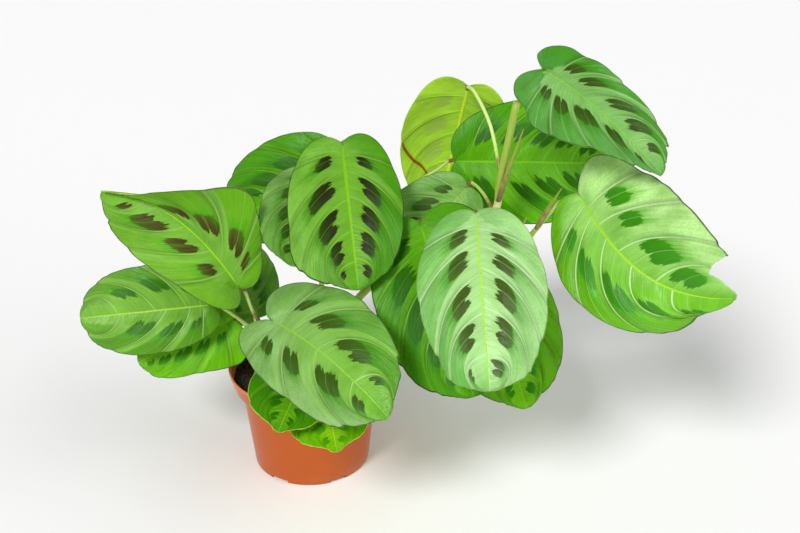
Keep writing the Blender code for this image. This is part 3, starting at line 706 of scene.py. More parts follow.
    # Blotch, veins and margin, and the scar with its yellow edge
    outwards = nodes.step(out_from + streak * 0.5, inner + 0.06, outer + 0.08, 0.0, 0.32)
    outwards = outwards + nodes.math("MAXIMUM", hair * 0.9, 0.0)
    off_mark = nodes.attribute("mark", "Fac") + (cloud - 0.5) * 1.2
    for cover, over in (
        (dark, nodes.mix(outwards, given["Blotch"], given["Flame"])),
        (main_vein * 0.75, given["Vein"]),
        (second_vein * 0.25, given["Vein"]),
        (midrib, given["Midrib"]),
        (rim, given["Margin"]),
        (nodes.fall(off_mark, 1.2, 3.6, start=0.45), SCAR_EDGE),
        (nodes.fall(off_mark, 0.7, 1.2, start=0.9), SCAR),
    ):
        colour = nodes.mix(cover, colour, over)

    nodes.feed_all(out, {
        "Colour": colour,
        "Roughness": (skin - 0.5) * 0.20 + 0.27 + dark * 0.05,
        "Height": hair * 1.4 + streak * 0.8 + skin * 0.30 - second_vein * 0.4 + main_vein * 0.5,
    })
    return nodes.tree


def blade_materials(name, tone, pattern):
    """The upper and the under skin of a blade.

    The under one is duller. Its colours are a fifth of the upper ones in four fifths of a
    pale green, which is brightened to paint the light that shines through the blade, and
    its blotches are faint.
    """
    made = []
    for face in ("upper", "under"):
        colours = dict(TONES[tone])
        cover, gloss, rib = (colours.pop(key) for key in ("cover", "gloss", "rib"))
        if face == "under":
            colours = {key: tuple(0.2 * own + 0.8 * green for own, green in zip(colour, UNDER_GREEN))
                       for key, colour in colours.items()}
            colours["blotch"] = UNDER_BLOTCH
            colours["midrib"] = UNDER_MIDRIB
        skin, nodes, shader = new_material(f"{name}_{face}", {
            "Subsurface Weight": 0.12, "Subsurface Scale": 0.0004, "Subsurface Radius": (0.5, 1.0, 0.15),
            "Sheen Weight": 0.1 * gloss, "Sheen Roughness": 0.4,
            "Specular IOR Level": gloss if face == "upper" else UNDER_GLOSS,
        })
        fed = {key.capitalize(): colour for key, colour in colours.items()}
        nodes.surface(shader, *nodes.group(pattern, Cover=cover, Rib=rib, **fed), 0.0004, 0.9)
        made.append(skin)
    return made


def finish_mesh(name, vertices, faces, materials, slots=None):
    """A smooth shaded object at the origin, with its place in its mesh."""
    mesh = bpy.data.meshes.new(name)
    mesh.from_pydata(vertices.tolist(), [], faces)
    for item in materials:
        mesh.materials.append(item)
    if slots is not None:
        mesh.polygons.foreach_set("material_index", slots)
    mesh.shade_smooth()
    made = bpy.data.objects.new(name, mesh)
    bpy.context.scene.collection.objects.link(made)
    return made


def ring_faces(count, sides):
    """Squares between neighbouring rings, and the triangles that close the two ends.

    The vertices are numbered ring after ring. The middle of the first ring's end comes
    after them all, and then the middle of the last ring's end.
    """
    row = np.arange(count - 1)[:, None] * sides
    column = np.arange(sides)
    after = (column + 1) % sides
    quads = np.stack([row + column, row + after, row + sides + after, row + sides + column], axis=-1)
    top = (count - 1) * sides
    start = np.stack([np.full(sides, count * sides), after, column], axis=-1)
    end = np.stack([np.full(sides, count * sides + 1), top + column, top + after], axis=-1)
    return quads.reshape(-1, 4), np.concatenate([start, end])


def closed_mesh(name, rings, ends, materials, slots=None):
    """A closed body from an array of rings, each a row of places, and its two end places."""
    quads, caps = ring_faces(*rings.shape[:2])
    vertices = np.vstack([rings.reshape(-1, 3), ends])
    return finish_mesh(name, vertices, quads.tolist() + caps.tolist(), materials, slots)


def add_attribute(mesh, name, domain, values):
    flat = values.ndim == 1
    made = mesh.attributes.new(name, "FLOAT" if flat else "FLOAT_VECTOR", domain)
    made.data.foreach_set("value" if flat else "vector", values.ravel())


def smooth_step(value, low, high):
    share = np.clip((value - low) / (high - low), 0, 1)
    return share * share * (3 - 2 * share)


def bell(value, width):
    """1 where the value is 0, falling to both sides over about the width."""
    return np.exp(-((value / width) ** 2))


def leaf_axes(leaf):
    """Unit vectors of a blade: along it, out of its upper face, and to its side."""
    heading, pitch, roll = (math.radians(leaf[key]) for key in ("heading", "pitch", "roll"))
    ahead = np.array([math.cos(heading), math.sin(heading), 0.0])
    above = np.array([0.0, 0.0, 1.0])
    along = math.cos(pitch) * ahead + math.sin(pitch) * above
    upright = math.cos(pitch) * above - math.sin(pitch) * ahead
    normal = math.cos(roll) * upright + math.sin(roll) * np.cross(along, upright)
    return along, normal, np.cross(along, normal)


def leaf_outline(u, v, leaf):
    """Flat place in a blade, in leaf lengths: along from the base, and across.

    u runs from base to tip and v from one margin, through the midrib, to the other.
    A line of constant u is a side vein: a curve of second degree from its root on the
    midrib, past a knee, to the margin, which it meets well nearer the tip.
    """
    reach = 1 - (1 - u) ** VEIN_SWEEP
    turn = np.pi * reach
    longer, spread = leaf["point"]
    margin_along = (1 - np.cos(turn)) / 2 - leaf["lobe"] * np.sin(turn) * (1 - reach) ** 4
    margin_along = (margin_along + longer * bell(1 - reach, spread)) / (1 + longer)
    side, share = leaf["taper"]
    ease = smooth_step(reach, TAPER_START, TAPER_START + TAPER_SPAN)
    side_share = (1 + leaf["asymmetry"] * np.sign(v)) * (1 - share * ease * (np.sign(v) == side))
    fullness = BASE_FULLNESS - TIP_FULLNESS * reach
    margin_across = leaf["width"] / 2 * np.sin(turn).clip(0) ** fullness * side_share
    for side, centre, spread, share in leaf["narrow"]:
        drawn = share * bell(reach - centre, spread)
        margin_across = margin_across * (1 - drawn * (np.sign(v) == side))
    root = u**VEIN_CROWDING
    knee_along = root + (margin_along - root) * VEIN_KNEE_ALONG
    inside = knee_along.clip(0, 1)
    wide = leaf["width"] / 2 * (4 * inside * (1 - inside)) ** 0.45 * side_share
    out = np.abs(v)
    along = (1 - out) ** 2 * root + 2 * out * (1 - out) * knee_along + out**2 * margin_along
    across = 2 * out * (1 - out) * (VEIN_KNEE_ACROSS * wide) + out**2 * margin_across
    return along, across * np.sign(v), reach


def leaf_surface(u, v, leaf):
    """Places on a blade's middle surface.

    The midrib is an arc of a circle. Each half is lifted by the fold, droops towards
    its margin by the curl, turns about the midrib by the twist and waves at the margin.
    """
    along, across, reach = leaf_outline(u, v, leaf)
    length = leaf["length"]
    forward, normal, side = leaf_axes(leaf)
    bend = math.radians(leaf["bend"])
    slope = bend * (0.5 - along)
    ahead = length * (np.sin(bend / 2) - np.sin(slope)) / bend
    lift = length * (np.cos(slope) - np.cos(bend / 2)) / bend
    shift = leaf["sweep"] * length * along * (1 - along) * 4
    bowed = along.clip(0, 1) ** 2 * (1 - along).clip(0, 1) * (1 - v**2) * 27 / 4
    shift = shift + leaf["bow"] * length * bowed
    out = np.abs(across) * length
    sign = np.sign(across)
    rise = math.radians(leaf["fold"]) + math.radians(MARGIN_CURL) * np.abs(across) / leaf["width"]
    turned = np.clip((along - TWIST_START) / (1 - TWIST_START), 0, 1) ** 1.3
    turn = math.radians(leaf["twist"]) * turned
    flat = out * np.cos(rise) * sign
    ripple = np.sin(2 * np.pi * MARGIN_WAVES * reach + sign * 1.1)
    ripple = MARGIN_RIPPLE * v**2 * ripple * np.sin(np.pi * reach).clip(0) ** 0.5
    high = out * np.sin(rise) + ripple
    sideways = shift + flat * np.cos(turn) - high * np.sin(turn)
    upwards = flat * np.sin(turn) + high * np.cos(turn)
    local = np.cos(slope)[..., None] * normal - np.sin(slope)[..., None] * forward
    return (np.array(leaf["base"]) + ahead[..., None] * forward + lift[..., None] * normal
            + sideways[..., None] * side + upwards[..., None] * local)


def leaf_normals(u, v, leaf):
    """Unit vectors out of the blade's upper face, from the slopes of its middle surface."""
    step = 1e-3
    inner = np.clip(u, 0.03, 0.97)
    near = np.clip(v, -0.97, 0.97)
    du = leaf_surface(inner + step, near, leaf) - leaf_surface(inner - step, near, leaf)
    dv = leaf_surface(inner, near + step, leaf) - leaf_surface(inner, near - step, leaf)
    normal = np.cross(dv, du)
    return normal / np.linalg.norm(normal, axis=-1)[..., None]


def strips_of(u, sign, leaf):
    """Number of the strip between main side veins that holds u, its first vein and its width."""
    number = np.zeros(u.shape, int)
    first = np.zeros(u.shape)
    last = np.ones(u.shape)
    for side, spots in ((1, leaf["plus"]), (-1, leaf["minus"])):
        veins = np.array([0.0] + [spot[0] - VEIN_LEAD for spot in spots] + [1.0])
        found = np.clip(np.searchsorted(veins, u, side="right") - 1, 0, len(spots))
        here = sign == side
        number = np.where(here, found, number)
        first = np.where(here, veins[found], first)
        last = np.where(here, veins[found + 1], last)
    return number, first, last - first


def strip_share(u, v, leaf):
    """Share of the way across the strip that holds a place, and the strip's width."""
    _, first, wide = strips_of(u, np.where(v > 0, 1, -1), leaf)
    return (u - first) / wide, wide


def quilting(u, v, leaf):
    """Height of the soft pillows between main side veins, flat at the midrib and the ends.

    Across a strip a pillow rises as a power of the share up to its crest and falls the
    same way behind it, so two pillows meet in a crease on their vein.
    """
    share, wide = strip_share(u, v, leaf)
    to_crest = np.where(share < QUILT_CREST, 1 - share / QUILT_CREST,
                        (share - QUILT_CREST) / (1 - QUILT_CREST))
    pillow = 1 - to_crest**1.8
    narrow = np.minimum(wide / 0.16, 1)
    out = np.abs(v)
    spread = smooth_step(out, 0.02, 0.3) * (1 - 0.75 * smooth_step(out, 0.6, 1.0))
    ends = np.sin(np.pi * u).clip(0) ** 0.6 * (1 - 0.6 * smooth_step(u, 0.7, 0.95))
    return QUILT_SHARE * leaf["quilt"] * leaf["length"] * pillow * narrow * spread * ends, share


def row_places(leaf):
    """Rows from base to tip, closer together where a main side vein starts."""
    fine = np.linspace(0, 1, 4001)
    density = np.ones_like(fine)
    for spot in leaf["plus"] + leaf["minus"]:
        density += 2.2 * bell(fine - spot[0] + VEIN_LEAD, 0.008)
    total = np.cumsum(density)
    total = (total - total[0]) / (total[-1] - total[0])
    return np.interp(np.linspace(0, 1, BLADE_ROWS + 1)[1:-1], total, fine)


def nibs(u, v, leaf):
    """How far in the margin sits: a shallow notch where each main vein ends, and small waves."""
    share, _ = strip_share(u, v, leaf)
    at_vein = bell(np.minimum(share, 1 - share), 0.13)
    waves = 0.5 + 0.5 * np.sin(71 * u + 3 * np.sin(23 * u + np.sign(v)))
    ends = np.sin(np.pi * u).clip(0) ** 0.5
    return leaf["nib"] * (0.7 * at_vein + 0.3 * waves) * ends * np.abs(v) ** 4


def kept_share(u, v, leaf):
    """How much of each side vein's length is left where a piece is torn off the margin."""
    places, shares = np.array(leaf["tear"]).T
    left = np.interp(u, places, shares)
    ragged = 0.008 * np.sin(310 * u + 2 * np.sin(97 * u))
    return np.where((v < 0) & (left < 1), left + ragged, 1.0)


def off_mark(u, v, leaf):
    """Distance from a scar's line, in its own half widths, or far off where there is none."""
    if leaf["mark"] is None:
        return np.full(u.shape, FAR_OFF)
    start, end, half_width = leaf["mark"]
    half_blade = leaf["width"] / 2
    a, b = (np.array([place[0], place[1] * half_blade]) for place in (start, end))
    here = np.stack([u, v * half_blade], axis=-1)
    share = np.clip((here - a) @ (b - a) / ((b - a) @ (b - a)), 0, 1)
    away = np.linalg.norm(here - a - share[:, None] * (b - a), axis=-1)
    return away * leaf["length"] / half_width


def spots_of(spots):
    """For each strip, its blotch's inner and outer end, and where across it it ends and starts."""
    veins = [spot[0] - VEIN_LEAD for spot in spots] + [1.0]
    found = [BASE_STRIP]
    for (_, last, inner, outer), vein, following in zip(spots, veins, veins[1:]):
        wide = following - vein
        end = min((last + BLOTCH_SPREAD - vein) / wide, BLOTCH_END_LIMIT)
        found.append((inner, outer, end, (VEIN_LEAD - BLOTCH_SPREAD) / wide))
    return np.array(found)


def add_pattern_places(mesh, name, leaf, u, v, shape):
    """What the pattern reads, for each corner of each face, and the distance from the scar."""
    quads, caps = ring_faces(*shape)
    loops = np.concatenate([quads.ravel(), caps.ravel()])
    sizes = np.repeat([4, 3], [len(quads), len(caps)])
    starts = np.cumsum(sizes) - sizes
    loop_u, loop_v = u[loops], v[loops]
    sign = np.where(np.add.reduceat(loop_v, starts) > 0, 1, -1)
    number, first, wide = strips_of(np.add.reduceat(loop_u, starts) / sizes, sign, leaf)
    plus, minus = spots_of(leaf["plus"]), spots_of(leaf["minus"])
    found = np.where((sign > 0)[:, None], plus[np.minimum(number, len(plus) - 1)],
                     minus[np.minimum(number, len(minus) - 1)])
    own = (np.sin(number * 7.13 + sign * 2.7 + sum(map(ord, name)) * 1.7) * 43.7) % 1.0
    spread = np.repeat(np.arange(len(sizes)), sizes)
    across_strip = (loop_u - first[spread]) / wide[spread]
    # Bloom with painted sheen, stronger towards one end and one side of the blade, where the light falls
    # on it
    level, lengthways, sideways = leaf["bloom_and_sheen"]
    bloom_and_sheen = np.clip(level + lengthways * (loop_u - 0.5) + sideways * loop_v, 0, 1)
    strip = np.stack([across_strip, np.abs(loop_v), own[spread]], axis=-1)
    tone = np.stack([bloom_and_sheen, found[spread, 3], (wide / USUAL_STRIP)[spread]], axis=-1)
    for key, values in (("strip", strip), ("spot", found[spread, :3]), ("tone", tone)):
        add_attribute(mesh, key, "CORNER", values)
    add_attribute(mesh, "mark", "POINT", off_mark(u, v, leaf))
    layer = mesh.uv_layers.new(name="blade")
    layer.data.foreach_set("uv", np.stack([loop_u, 0.5 + loop_v / 2], axis=-1).ravel())


def make_leaf(name, leaf, pattern):
    """A closed blade, made of rings round its cross section from base to tip.

    A ring goes over the upper face from one margin to the other and back below. The
    skin lies half a thickness off the middle surface, less at the margin, with the
    quilting on both faces, a groove on the midrib above, and a keel and ridges below.
    """
    half = np.linspace(-1, 1, BLADE_COLUMNS + 1)
    half = np.sign(half) * np.abs(half) ** COLUMN_CROWDING
    ring = np.concatenate([half, half[::-1]])
    face = np.repeat([1.0, -1.0], BLADE_COLUMNS + 1)
    u, v = np.meshgrid(row_places(leaf), ring, indexing="ij")
    edge = smooth_step(np.abs(v), 0.9, 1.0)
    kept = kept_share(u, v, leaf)
    v = v * kept
    moved = v * (1 - nibs(u, v + OFF_MIDRIB, leaf) * (kept == 1)) + OFF_MIDRIB
    metres = np.abs(leaf_outline(u, moved, leaf)[1]) * leaf["length"]
    height, share = quilting(u, moved, leaf)
    thick = (BLADE_THICKNESS * (1 - edge) + RIM_THICKNESS * edge) / 2
    line = bell(metres, KEEL_WIDTH)
    ridge = VEIN_RIDGE * bell(np.minimum(share, 1 - share), 0.06) * smooth_step(metres, 0.0, 0.004)
    above = thick - GROOVE_DEPTH * line * (1 - 0.5 * u)
    below = thick + KEEL_DEPTH * line * (1 - 0.7 * u) + ridge * (1 - edge)
    off = height + np.where(face > 0, above, -below)
    rings = leaf_surface(u, moved, leaf) + leaf_normals(u, moved, leaf) * off[..., None]
    ends = leaf_surface(np.array([0.0, 1.0]), np.full(2, OFF_MIDRIB), leaf)
    base = np.array(leaf["base"])
    rings, ends = (base + (places - base) * BLADE_SCALE for places in (rings, ends))
    under = np.tile(np.arange(len(ring)) >= BLADE_COLUMNS, len(u) + 1)
    made = closed_mesh(name + "_blade", rings, ends, blade_materials(name, leaf["tone"], pattern),
                       under.astype(int))
    add_pattern_places(made.data, name, leaf, np.append(u, [0.0, 1.0]), np.append(v, [0.0, 0.0]),
                       u.shape)
    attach(made, "root")
    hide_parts(name)


def smooth_route(points):
    """Points along a smooth curve through the given ones.

    Each span is of third degree, and its slope at a point is half the way from the point
    before to the point after.
    """
    given = np.array(points, float)
    padded = np.vstack([2 * given[0] - given[1], given, 2 * given[-1] - given[-2]])
    a, b, c, d = (padded[k:len(given) - 1 + k, None] for k in range(4))
    t = (np.arange(ROUTE_STEPS) / ROUTE_STEPS)[None, :, None]
    route = 0.5 * (2 * b + (c - a) * t + (2 * a - 5 * b + 4 * c - d) * t**2
                   + (3 * b - a - 3 * c + d) * t**3)
    return np.vstack([route.reshape(-1, 3), given[-1:]])


def make_tube(name, route, radii, flush, material):
    """A nearly round tube along a route, closed at both ends.

    Each ring is the route's point plus its radius times two unit vectors at right
    angles to the route. The first is square to the plane that the route lies nearest.
    """
    along = np.gradient(route, axis=0)
    along /= np.linalg.norm(along, axis=1)[:, None]
    plane = np.linalg.svd(along)[2][-1]
    across = np.cross(along, plane)
    across /= np.linalg.norm(across, axis=1)[:, None]
    third = np.cross(along, across)
    angle = 2 * np.pi * np.arange(TUBE_SIDES) / TUBE_SIDES
    swell = 1 + 0.03 * np.sin(3 * angle)
    ring = np.cos(angle)[:, None] * across[:, None] + np.sin(angle)[:, None] * third[:, None]
    rings = route[:, None] + ring * (radii[:, None] * swell)[..., None]
    made = closed_mesh(name, rings, route[[0, -1]], [material])
    add_attribute(made.data, "flush", "POINT", np.append(np.repeat(flush, TUBE_SIDES), flush[[0, -1]]))
    return made


def petiole_route(points, leaf):
    """From the stem to the blade's base, then along the underside of its midrib."""
    forward, normal, _ = leaf_axes(leaf)
    half = math.radians(leaf["bend"]) / 2
    tangent = math.cos(half) * forward + math.sin(half) * normal
    below = math.cos(half) * normal - math.sin(half) * forward
    base = np.array(leaf["base"])
    drop = BLADE_THICKNESS / 2 + 1.3 * CLEARANCE + PULVINUS_RADIUS
    before = base - PETIOLE_MEETS * tangent - (drop + PETIOLE_SLACK) * below
    end = base + PETIOLE_REACH * tangent - PETIOLE_DROP * below
    return smooth_route([*points, before, end])


def stem_group():
    """Colour of a petiole or stem: green, and another colour where it is flushed, in streaks."""
    nodes, given, out = new_group("stem_skin", ("Green", "Flushed"))
    place = nodes.place()
    stretched = nodes.add("Mapping")
    nodes.feed_all(stretched.inputs, {"Vector": place, "Scale": (900.0, 900.0, 90.0)})
    streak = nodes.noise(nodes.out(stretched), 1.0, 3.0)
    mottle = nodes.noise(place, 260.0, 3.0)
    flush = nodes.attribute("flush", "Fac")
    share = nodes.step(flush + (mottle - 0.5) * 0.7, 0.25, 0.75) * nodes.step(flush, 0.0, 0.15)
    level = streak * 0.4 + 0.8
    colour = nodes.mix(share, given["Green"], given["Flushed"])
    colour = nodes.mix(1.0, colour, nodes.vector(level, level, level), "MULTIPLY")
    nodes.feed_all(out, {"Colour": colour, "Roughness": streak * 0.2 + 0.3, "Height": streak})
    return nodes.tree


def stem_material(shoot_name, part, group):
    """A shoot's own skin for one kind of its parts, made when it is first asked for."""
    name = f"{shoot_name}_{part}"
    if name in bpy.data.materials:
        return bpy.data.materials[name]
    skin, nodes, shader = new_material(name, {
        "Subsurface Weight": 0.15, "Subsurface Scale": 0.002, "Subsurface Radius": (0.8, 1.0, 0.3),
        "Specular IOR Level": 0.45,
    })
    green, flushed = STEM_COLOURS[part]
    nodes.surface(shader, *nodes.group(group, Green=green, Flushed=flushed), 0.0001, 0.5)
    return skin


def make_shoot(name, shoot, leaves, group):
    """The stem, its petioles, each a tube rooted inside the stem, and its sheaths."""
    x, y = shoot["stem"][0]
    foot = [(x, y, HOLE_BOTTOM + 2 * CLEARANCE), (x, y, SOIL_TOP - 0.006)]
    route = smooth_route([*foot, *shoot["stem"][1:]])
    share = np.linspace(0, 1, len(route))
    lowest, highest = shoot["radii"]
    flush = 0.55 * bell(share, 0.18) + 0.8 * bell(share - 0.80, 0.05)
    made = [make_tube(name + "_stem", route, lowest + (highest - lowest) * share, flush,
                      stem_material(name, "stem", group))]
    for leaf_name, points in shoot["petioles"].items():
        leaf = leaves[leaf_name]
        path = petiole_route(points, leaf)
        steps = np.linalg.norm(np.diff(path, axis=0), axis=1)
        left = np.append(np.cumsum(steps[::-1])[::-1], 0)
        grown = 1 - smooth_step(left, PULVINUS_LENGTH * 0.8, PULVINUS_LENGTH * 1.3)
        closing = smooth_step(left, -0.0015, 0.0025)
        slim = leaf["petiole"]
        thick = (slim + (max(PULVINUS_RADIUS, slim) - slim) * grown) * closing
        flush = np.maximum(0.9 * grown, 0.72 * bell(left[0] - left, ROOTED_LENGTH))
        made.append(make_tube(leaf_name + "_petiole", path, thick, flush,
                              stem_material(name, leaf["skin"], group)))
    for sheath_name, (points, widest) in shoot.get("sheaths", {}).items():
        path = smooth_route(points)
        share = np.linspace(0, 1, len(path))
        swell = 0.6 + 0.4 * np.sin(np.pi * np.minimum(1.3 * share, 1))
        thick = widest * swell * (1 - share) ** 0.6 + SHEATH_TIP
        made.append(make_tube(sheath_name, path, thick, 0.15 + 0.5 * (1 - share),
                              stem_material(name, "sheath", group)))
    for piece in made:
        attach(piece, "root")
        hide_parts(name)


def inner_radius(height):
    """Radius of the pot's inner face at a height."""
    if height < BAND_BOTTOM:
        share = height / BAND_BOTTOM
        return BASE_RADIUS + (BODY_TOP_RADIUS - BASE_RADIUS) * share - POT_WALL
    share = (height - BAND_BOTTOM) / (POT_HEIGHT - BAND_BOTTOM)
    return BAND_RADIUS + (RIM_RADIUS - BAND_RADIUS) * share - POT_WALL


def turned(name, profile, segments, material):
    """A closed body of revolution; the profile runs from the axis back to the axis."""
    profile = np.array(profile)
    angle = 2 * np.pi * np.arange(segments) / segments
    reach, height = profile[1:-1, :1], profile[1:-1, 1:]
    rings = np.stack([reach * np.cos(angle), reach * np.sin(angle),
                      np.repeat(height, segments, axis=1)], axis=-1)
    ends = [(0, 0, profile[0, 1]), (0, 0, profile[-1, 1])]
    return closed_mesh(name, rings, ends, [material])


def arc(centre, radius, start, end, count):
    """Points of a round corner in the profile's plane, angles in degrees."""
    angle = np.radians(np.linspace(start, end, count))
    return list(zip(centre[0] + radius * np.cos(angle), centre[1] + radius * np.sin(angle)))


def pot_material():
    """Satin moulded plastic: faint flow marks, a little dust near the base, a painted highlight along
    the lip.
    """
    skin, nodes, shader = new_material("pot_plastic", {
        "Specular IOR Level": 0.22, "Subsurface Weight": 0.06, "Subsurface Scale": 0.002,
        "Sheen Weight": 0.30, "Sheen Roughness": 0.35,
    })
    place = nodes.place()
    height = nodes.parts(place)[2]
    cloud = nodes.noise(place, 35.0, 4.0)
    grain = nodes.noise(place, 1600.0)
    colour = nodes.mix(cloud, *PLASTIC)
    # Painted highlight: the top of the lip is lighter orange
    lip = nodes.step(height, POT_HEIGHT - 0.004, POT_HEIGHT - 0.0015)
    colour = nodes.mix(lip * 0.5, colour, PAINTED_LIP_HIGHLIGHT)
    dust = nodes.fall(height, 0.0, 0.012) * nodes.step(cloud, 0.4, 0.7)
    colour = nodes.mix(dust * 0.25, colour, DUST)
    nodes.surface(shader, colour, cloud * 0.12 + 0.42, grain * 0.5 + cloud, 0.00012, 0.35)
    return skin


def pot_profile():
    """Half section of the pot, from the middle of its underside round to the floor inside."""
    lip = POT_WALL / 2

    # Resting disc, channel and foot ring
    profile = [(0, 0), (REST_DISC_RADIUS - REST_ROUND, 0)]
    profile += arc((REST_DISC_RADIUS - REST_ROUND, REST_ROUND), REST_ROUND, -90, -20, 4)
    profile += [(REST_DISC_RADIUS + CHANNEL_SLOPE_IN, CHANNEL_DEPTH),
                (FOOT_RING_INNER - CHANNEL_SLOPE_OUT, CHANNEL_DEPTH),
                (FOOT_RING_INNER, FOOT_BEVEL), (FOOT_RING_INNER + FOOT_BEVEL, 0)]

    # Body
    profile += [(BASE_RADIUS - BASE_ROUND, 0)]
    profile += arc((BASE_RADIUS - 0.0011, BASE_ROUND), BASE_ROUND, -80, -6, 6)
    profile += [(BASE_RADIUS + (BODY_TOP_RADIUS - BASE_RADIUS) * t,
                 BASE_ROUND + (BAND_BOTTOM - 0.0018) * t) for t in np.linspace(0.05, 1, 12)]

    # Rim band and lip
    profile += [(BODY_TOP_RADIUS + BAND_ROUND, BAND_BOTTOM), (BAND_RADIUS - BAND_ROUND, BAND_BOTTOM)]
    profile += arc((BAND_RADIUS - BAND_ROUND, BAND_BOTTOM + BAND_ROUND), BAND_ROUND, -80, -15, 4)
    profile += [(BAND_RADIUS + (RIM_RADIUS - BAND_RADIUS) * t, BAND_BOTTOM + 0.0008
                 + (POT_HEIGHT - BAND_BOTTOM - 0.0020) * t) for t in np.linspace(0.1, 1, 6)]
    profile += arc((RIM_RADIUS - lip, POT_HEIGHT - lip), lip, 10, 175, 8)

    # Inside
    profile += [(inner_radius(height), height) for height in (POT_HEIGHT - 0.002, BAND_BOTTOM + 0.0015)]
    profile += [(inner_radius(BAND_BOTTOM - 0.001), BAND_BOTTOM + 0.0012),
                (inner_radius(FLOOR_TOP + 0.001), FLOOR_TOP + 0.001),
                (inner_radius(FLOOR_TOP) - 0.001, FLOOR_TOP), (0, FLOOR_TOP)]
    return profile


def make_pot():
    """Thin wall with a flared rim band, a rounded lip, a foot ring cut into feet, and drains."""
    pot = turned("pot_shell", pot_profile(), POT_SEGMENTS, pot_material())
    cutters = bpy.data.collections.new("pot_cutters")
    for step in range(FOOT_COUNT):
        angle = 2 * math.pi * (step + 0.5) / FOOT_COUNT - math.pi / 2
        reach = (FOOT_RING_INNER + BASE_RADIUS) / 2
        bpy.ops.mesh.primitive_cube_add(size=1, rotation=(0, 0, angle), location=(
            reach * math.cos(angle), reach * math.sin(angle), 0))
        notch = bpy.context.object
        notch.scale = (FOOT_NOTCH_REACH, FOOT_NOTCH_WIDTH, 2 * CHANNEL_DEPTH)
        cutters.objects.link(notch)
    for step in range(DRAIN_COUNT):
        angle = 2 * math.pi * step / DRAIN_COUNT - math.pi / 2
        reach = (REST_DISC_RADIUS + FOOT_RING_INNER) / 2
        bpy.ops.mesh.primitive_cylinder_add(vertices=32, radius=DRAIN_RADIUS, depth=0.02, location=(
            reach * math.cos(angle), reach * math.sin(angle), 0.002))
        cutters.objects.link(bpy.context.object)
    cut = pot.modifiers.new("cut", "BOOLEAN")
    cut.operation = "DIFFERENCE"
    cut.solver = "EXACT"
    cut.operand_type = "COLLECTION"
    cut.collection = cutters
    graph = bpy.context.evaluated_depsgraph_get()
    shell = bpy.data.meshes.new_from_object(pot.evaluated_get(graph))
    pot.modifiers.clear()
    pot.data = shell
    for item in list(cutters.objects):
        bpy.data.objects.remove(item, do_unlink=True)
    bpy.data.collections.remove(cutters)
    shell.shade_smooth()
    shell.set_sharp_from_angle(angle=math.radians(40))
    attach(pot, "root")
    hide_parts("pot")


def lumps(x, y):
    """Uneven height of loose soil: sines in four scales, each turned by its own angle."""
    total = 0
    for k, (scale, depth) in enumerate(SOIL_WAVES):
        turn = 0.7 + 1.9 * k
        a = scale * (x * math.cos(turn) + y * math.sin(turn))
        b = scale * (y * math.cos(turn) - x * math.sin(turn))
        total = total + depth * (np.sin(a + 1.3 * np.sin(b * 0.7)) * np.cos(b + 0.9 * np.sin(a * 0.6)))
    return total


def soil_material():
    """Dark moist peat with brown fibres."""
    skin, nodes, shader = new_material("potting_soil", {"Specular IOR Level": 0.3})
    place = nodes.place()
    clump = nodes.noise(place, 420.0, 6.0, 0.65)
    fibre = nodes.noise(place, 1500.0, 3.0)
    colour = nodes.mix(nodes.step(clump, 0.35, 0.65), *PEAT)
    colour = nodes.mix(nodes.step(fibre, 0.66, 0.74), colour, FIBRE)
    nodes.surface(shader, colour, clump * 0.5 + 0.6, clump + fibre * 0.4, 0.0008, 0.9)
    return skin


def make_soil(peat):
    """The filling of the pot, uneven on top. Returns the radius of its top."""
    gap = 1.15 * CLEARANCE
    edge = inner_radius(SOIL_TOP - 0.001) - gap
    profile = [
        (0, FLOOR_TOP + gap), (inner_radius(FLOOR_TOP) - 0.0015 - gap, FLOOR_TOP + gap),
        (inner_radius(FLOOR_TOP + 0.002) - gap, FLOOR_TOP + 0.002),
        (inner_radius(BAND_BOTTOM - 0.001) - gap, BAND_BOTTOM + 0.0015),
        (inner_radius(BAND_BOTTOM + 0.002) - gap, BAND_BOTTOM + 0.002 + gap),
    ]
    profile += [(edge * t, SOIL_TOP) for t in np.linspace(1, 0.01, 90)] + [(0, SOIL_TOP)]
    soil = turned("soil_filling", profile, SOIL_SEGMENTS, peat)
    places = np.empty(len(soil.data.vertices) * 3)
    soil.data.vertices.foreach_get("co", places)
    places = places.reshape(-1, 3)
    top = places[:, 2] > SOIL_TOP - 1e-5
    reach = np.hypot(places[:, 0], places[:, 1]) / edge
    raised = lumps(places[:, 0], places[:, 1]) - 0.0008 * smooth_step(reach, 0.9, 1.0)
    places[:, 2] += np.where(top, raised, 0)
    soil.data.vertices.foreach_set("co", places.ravel())
    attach(soil, "root")
    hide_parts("soil")
    return edge


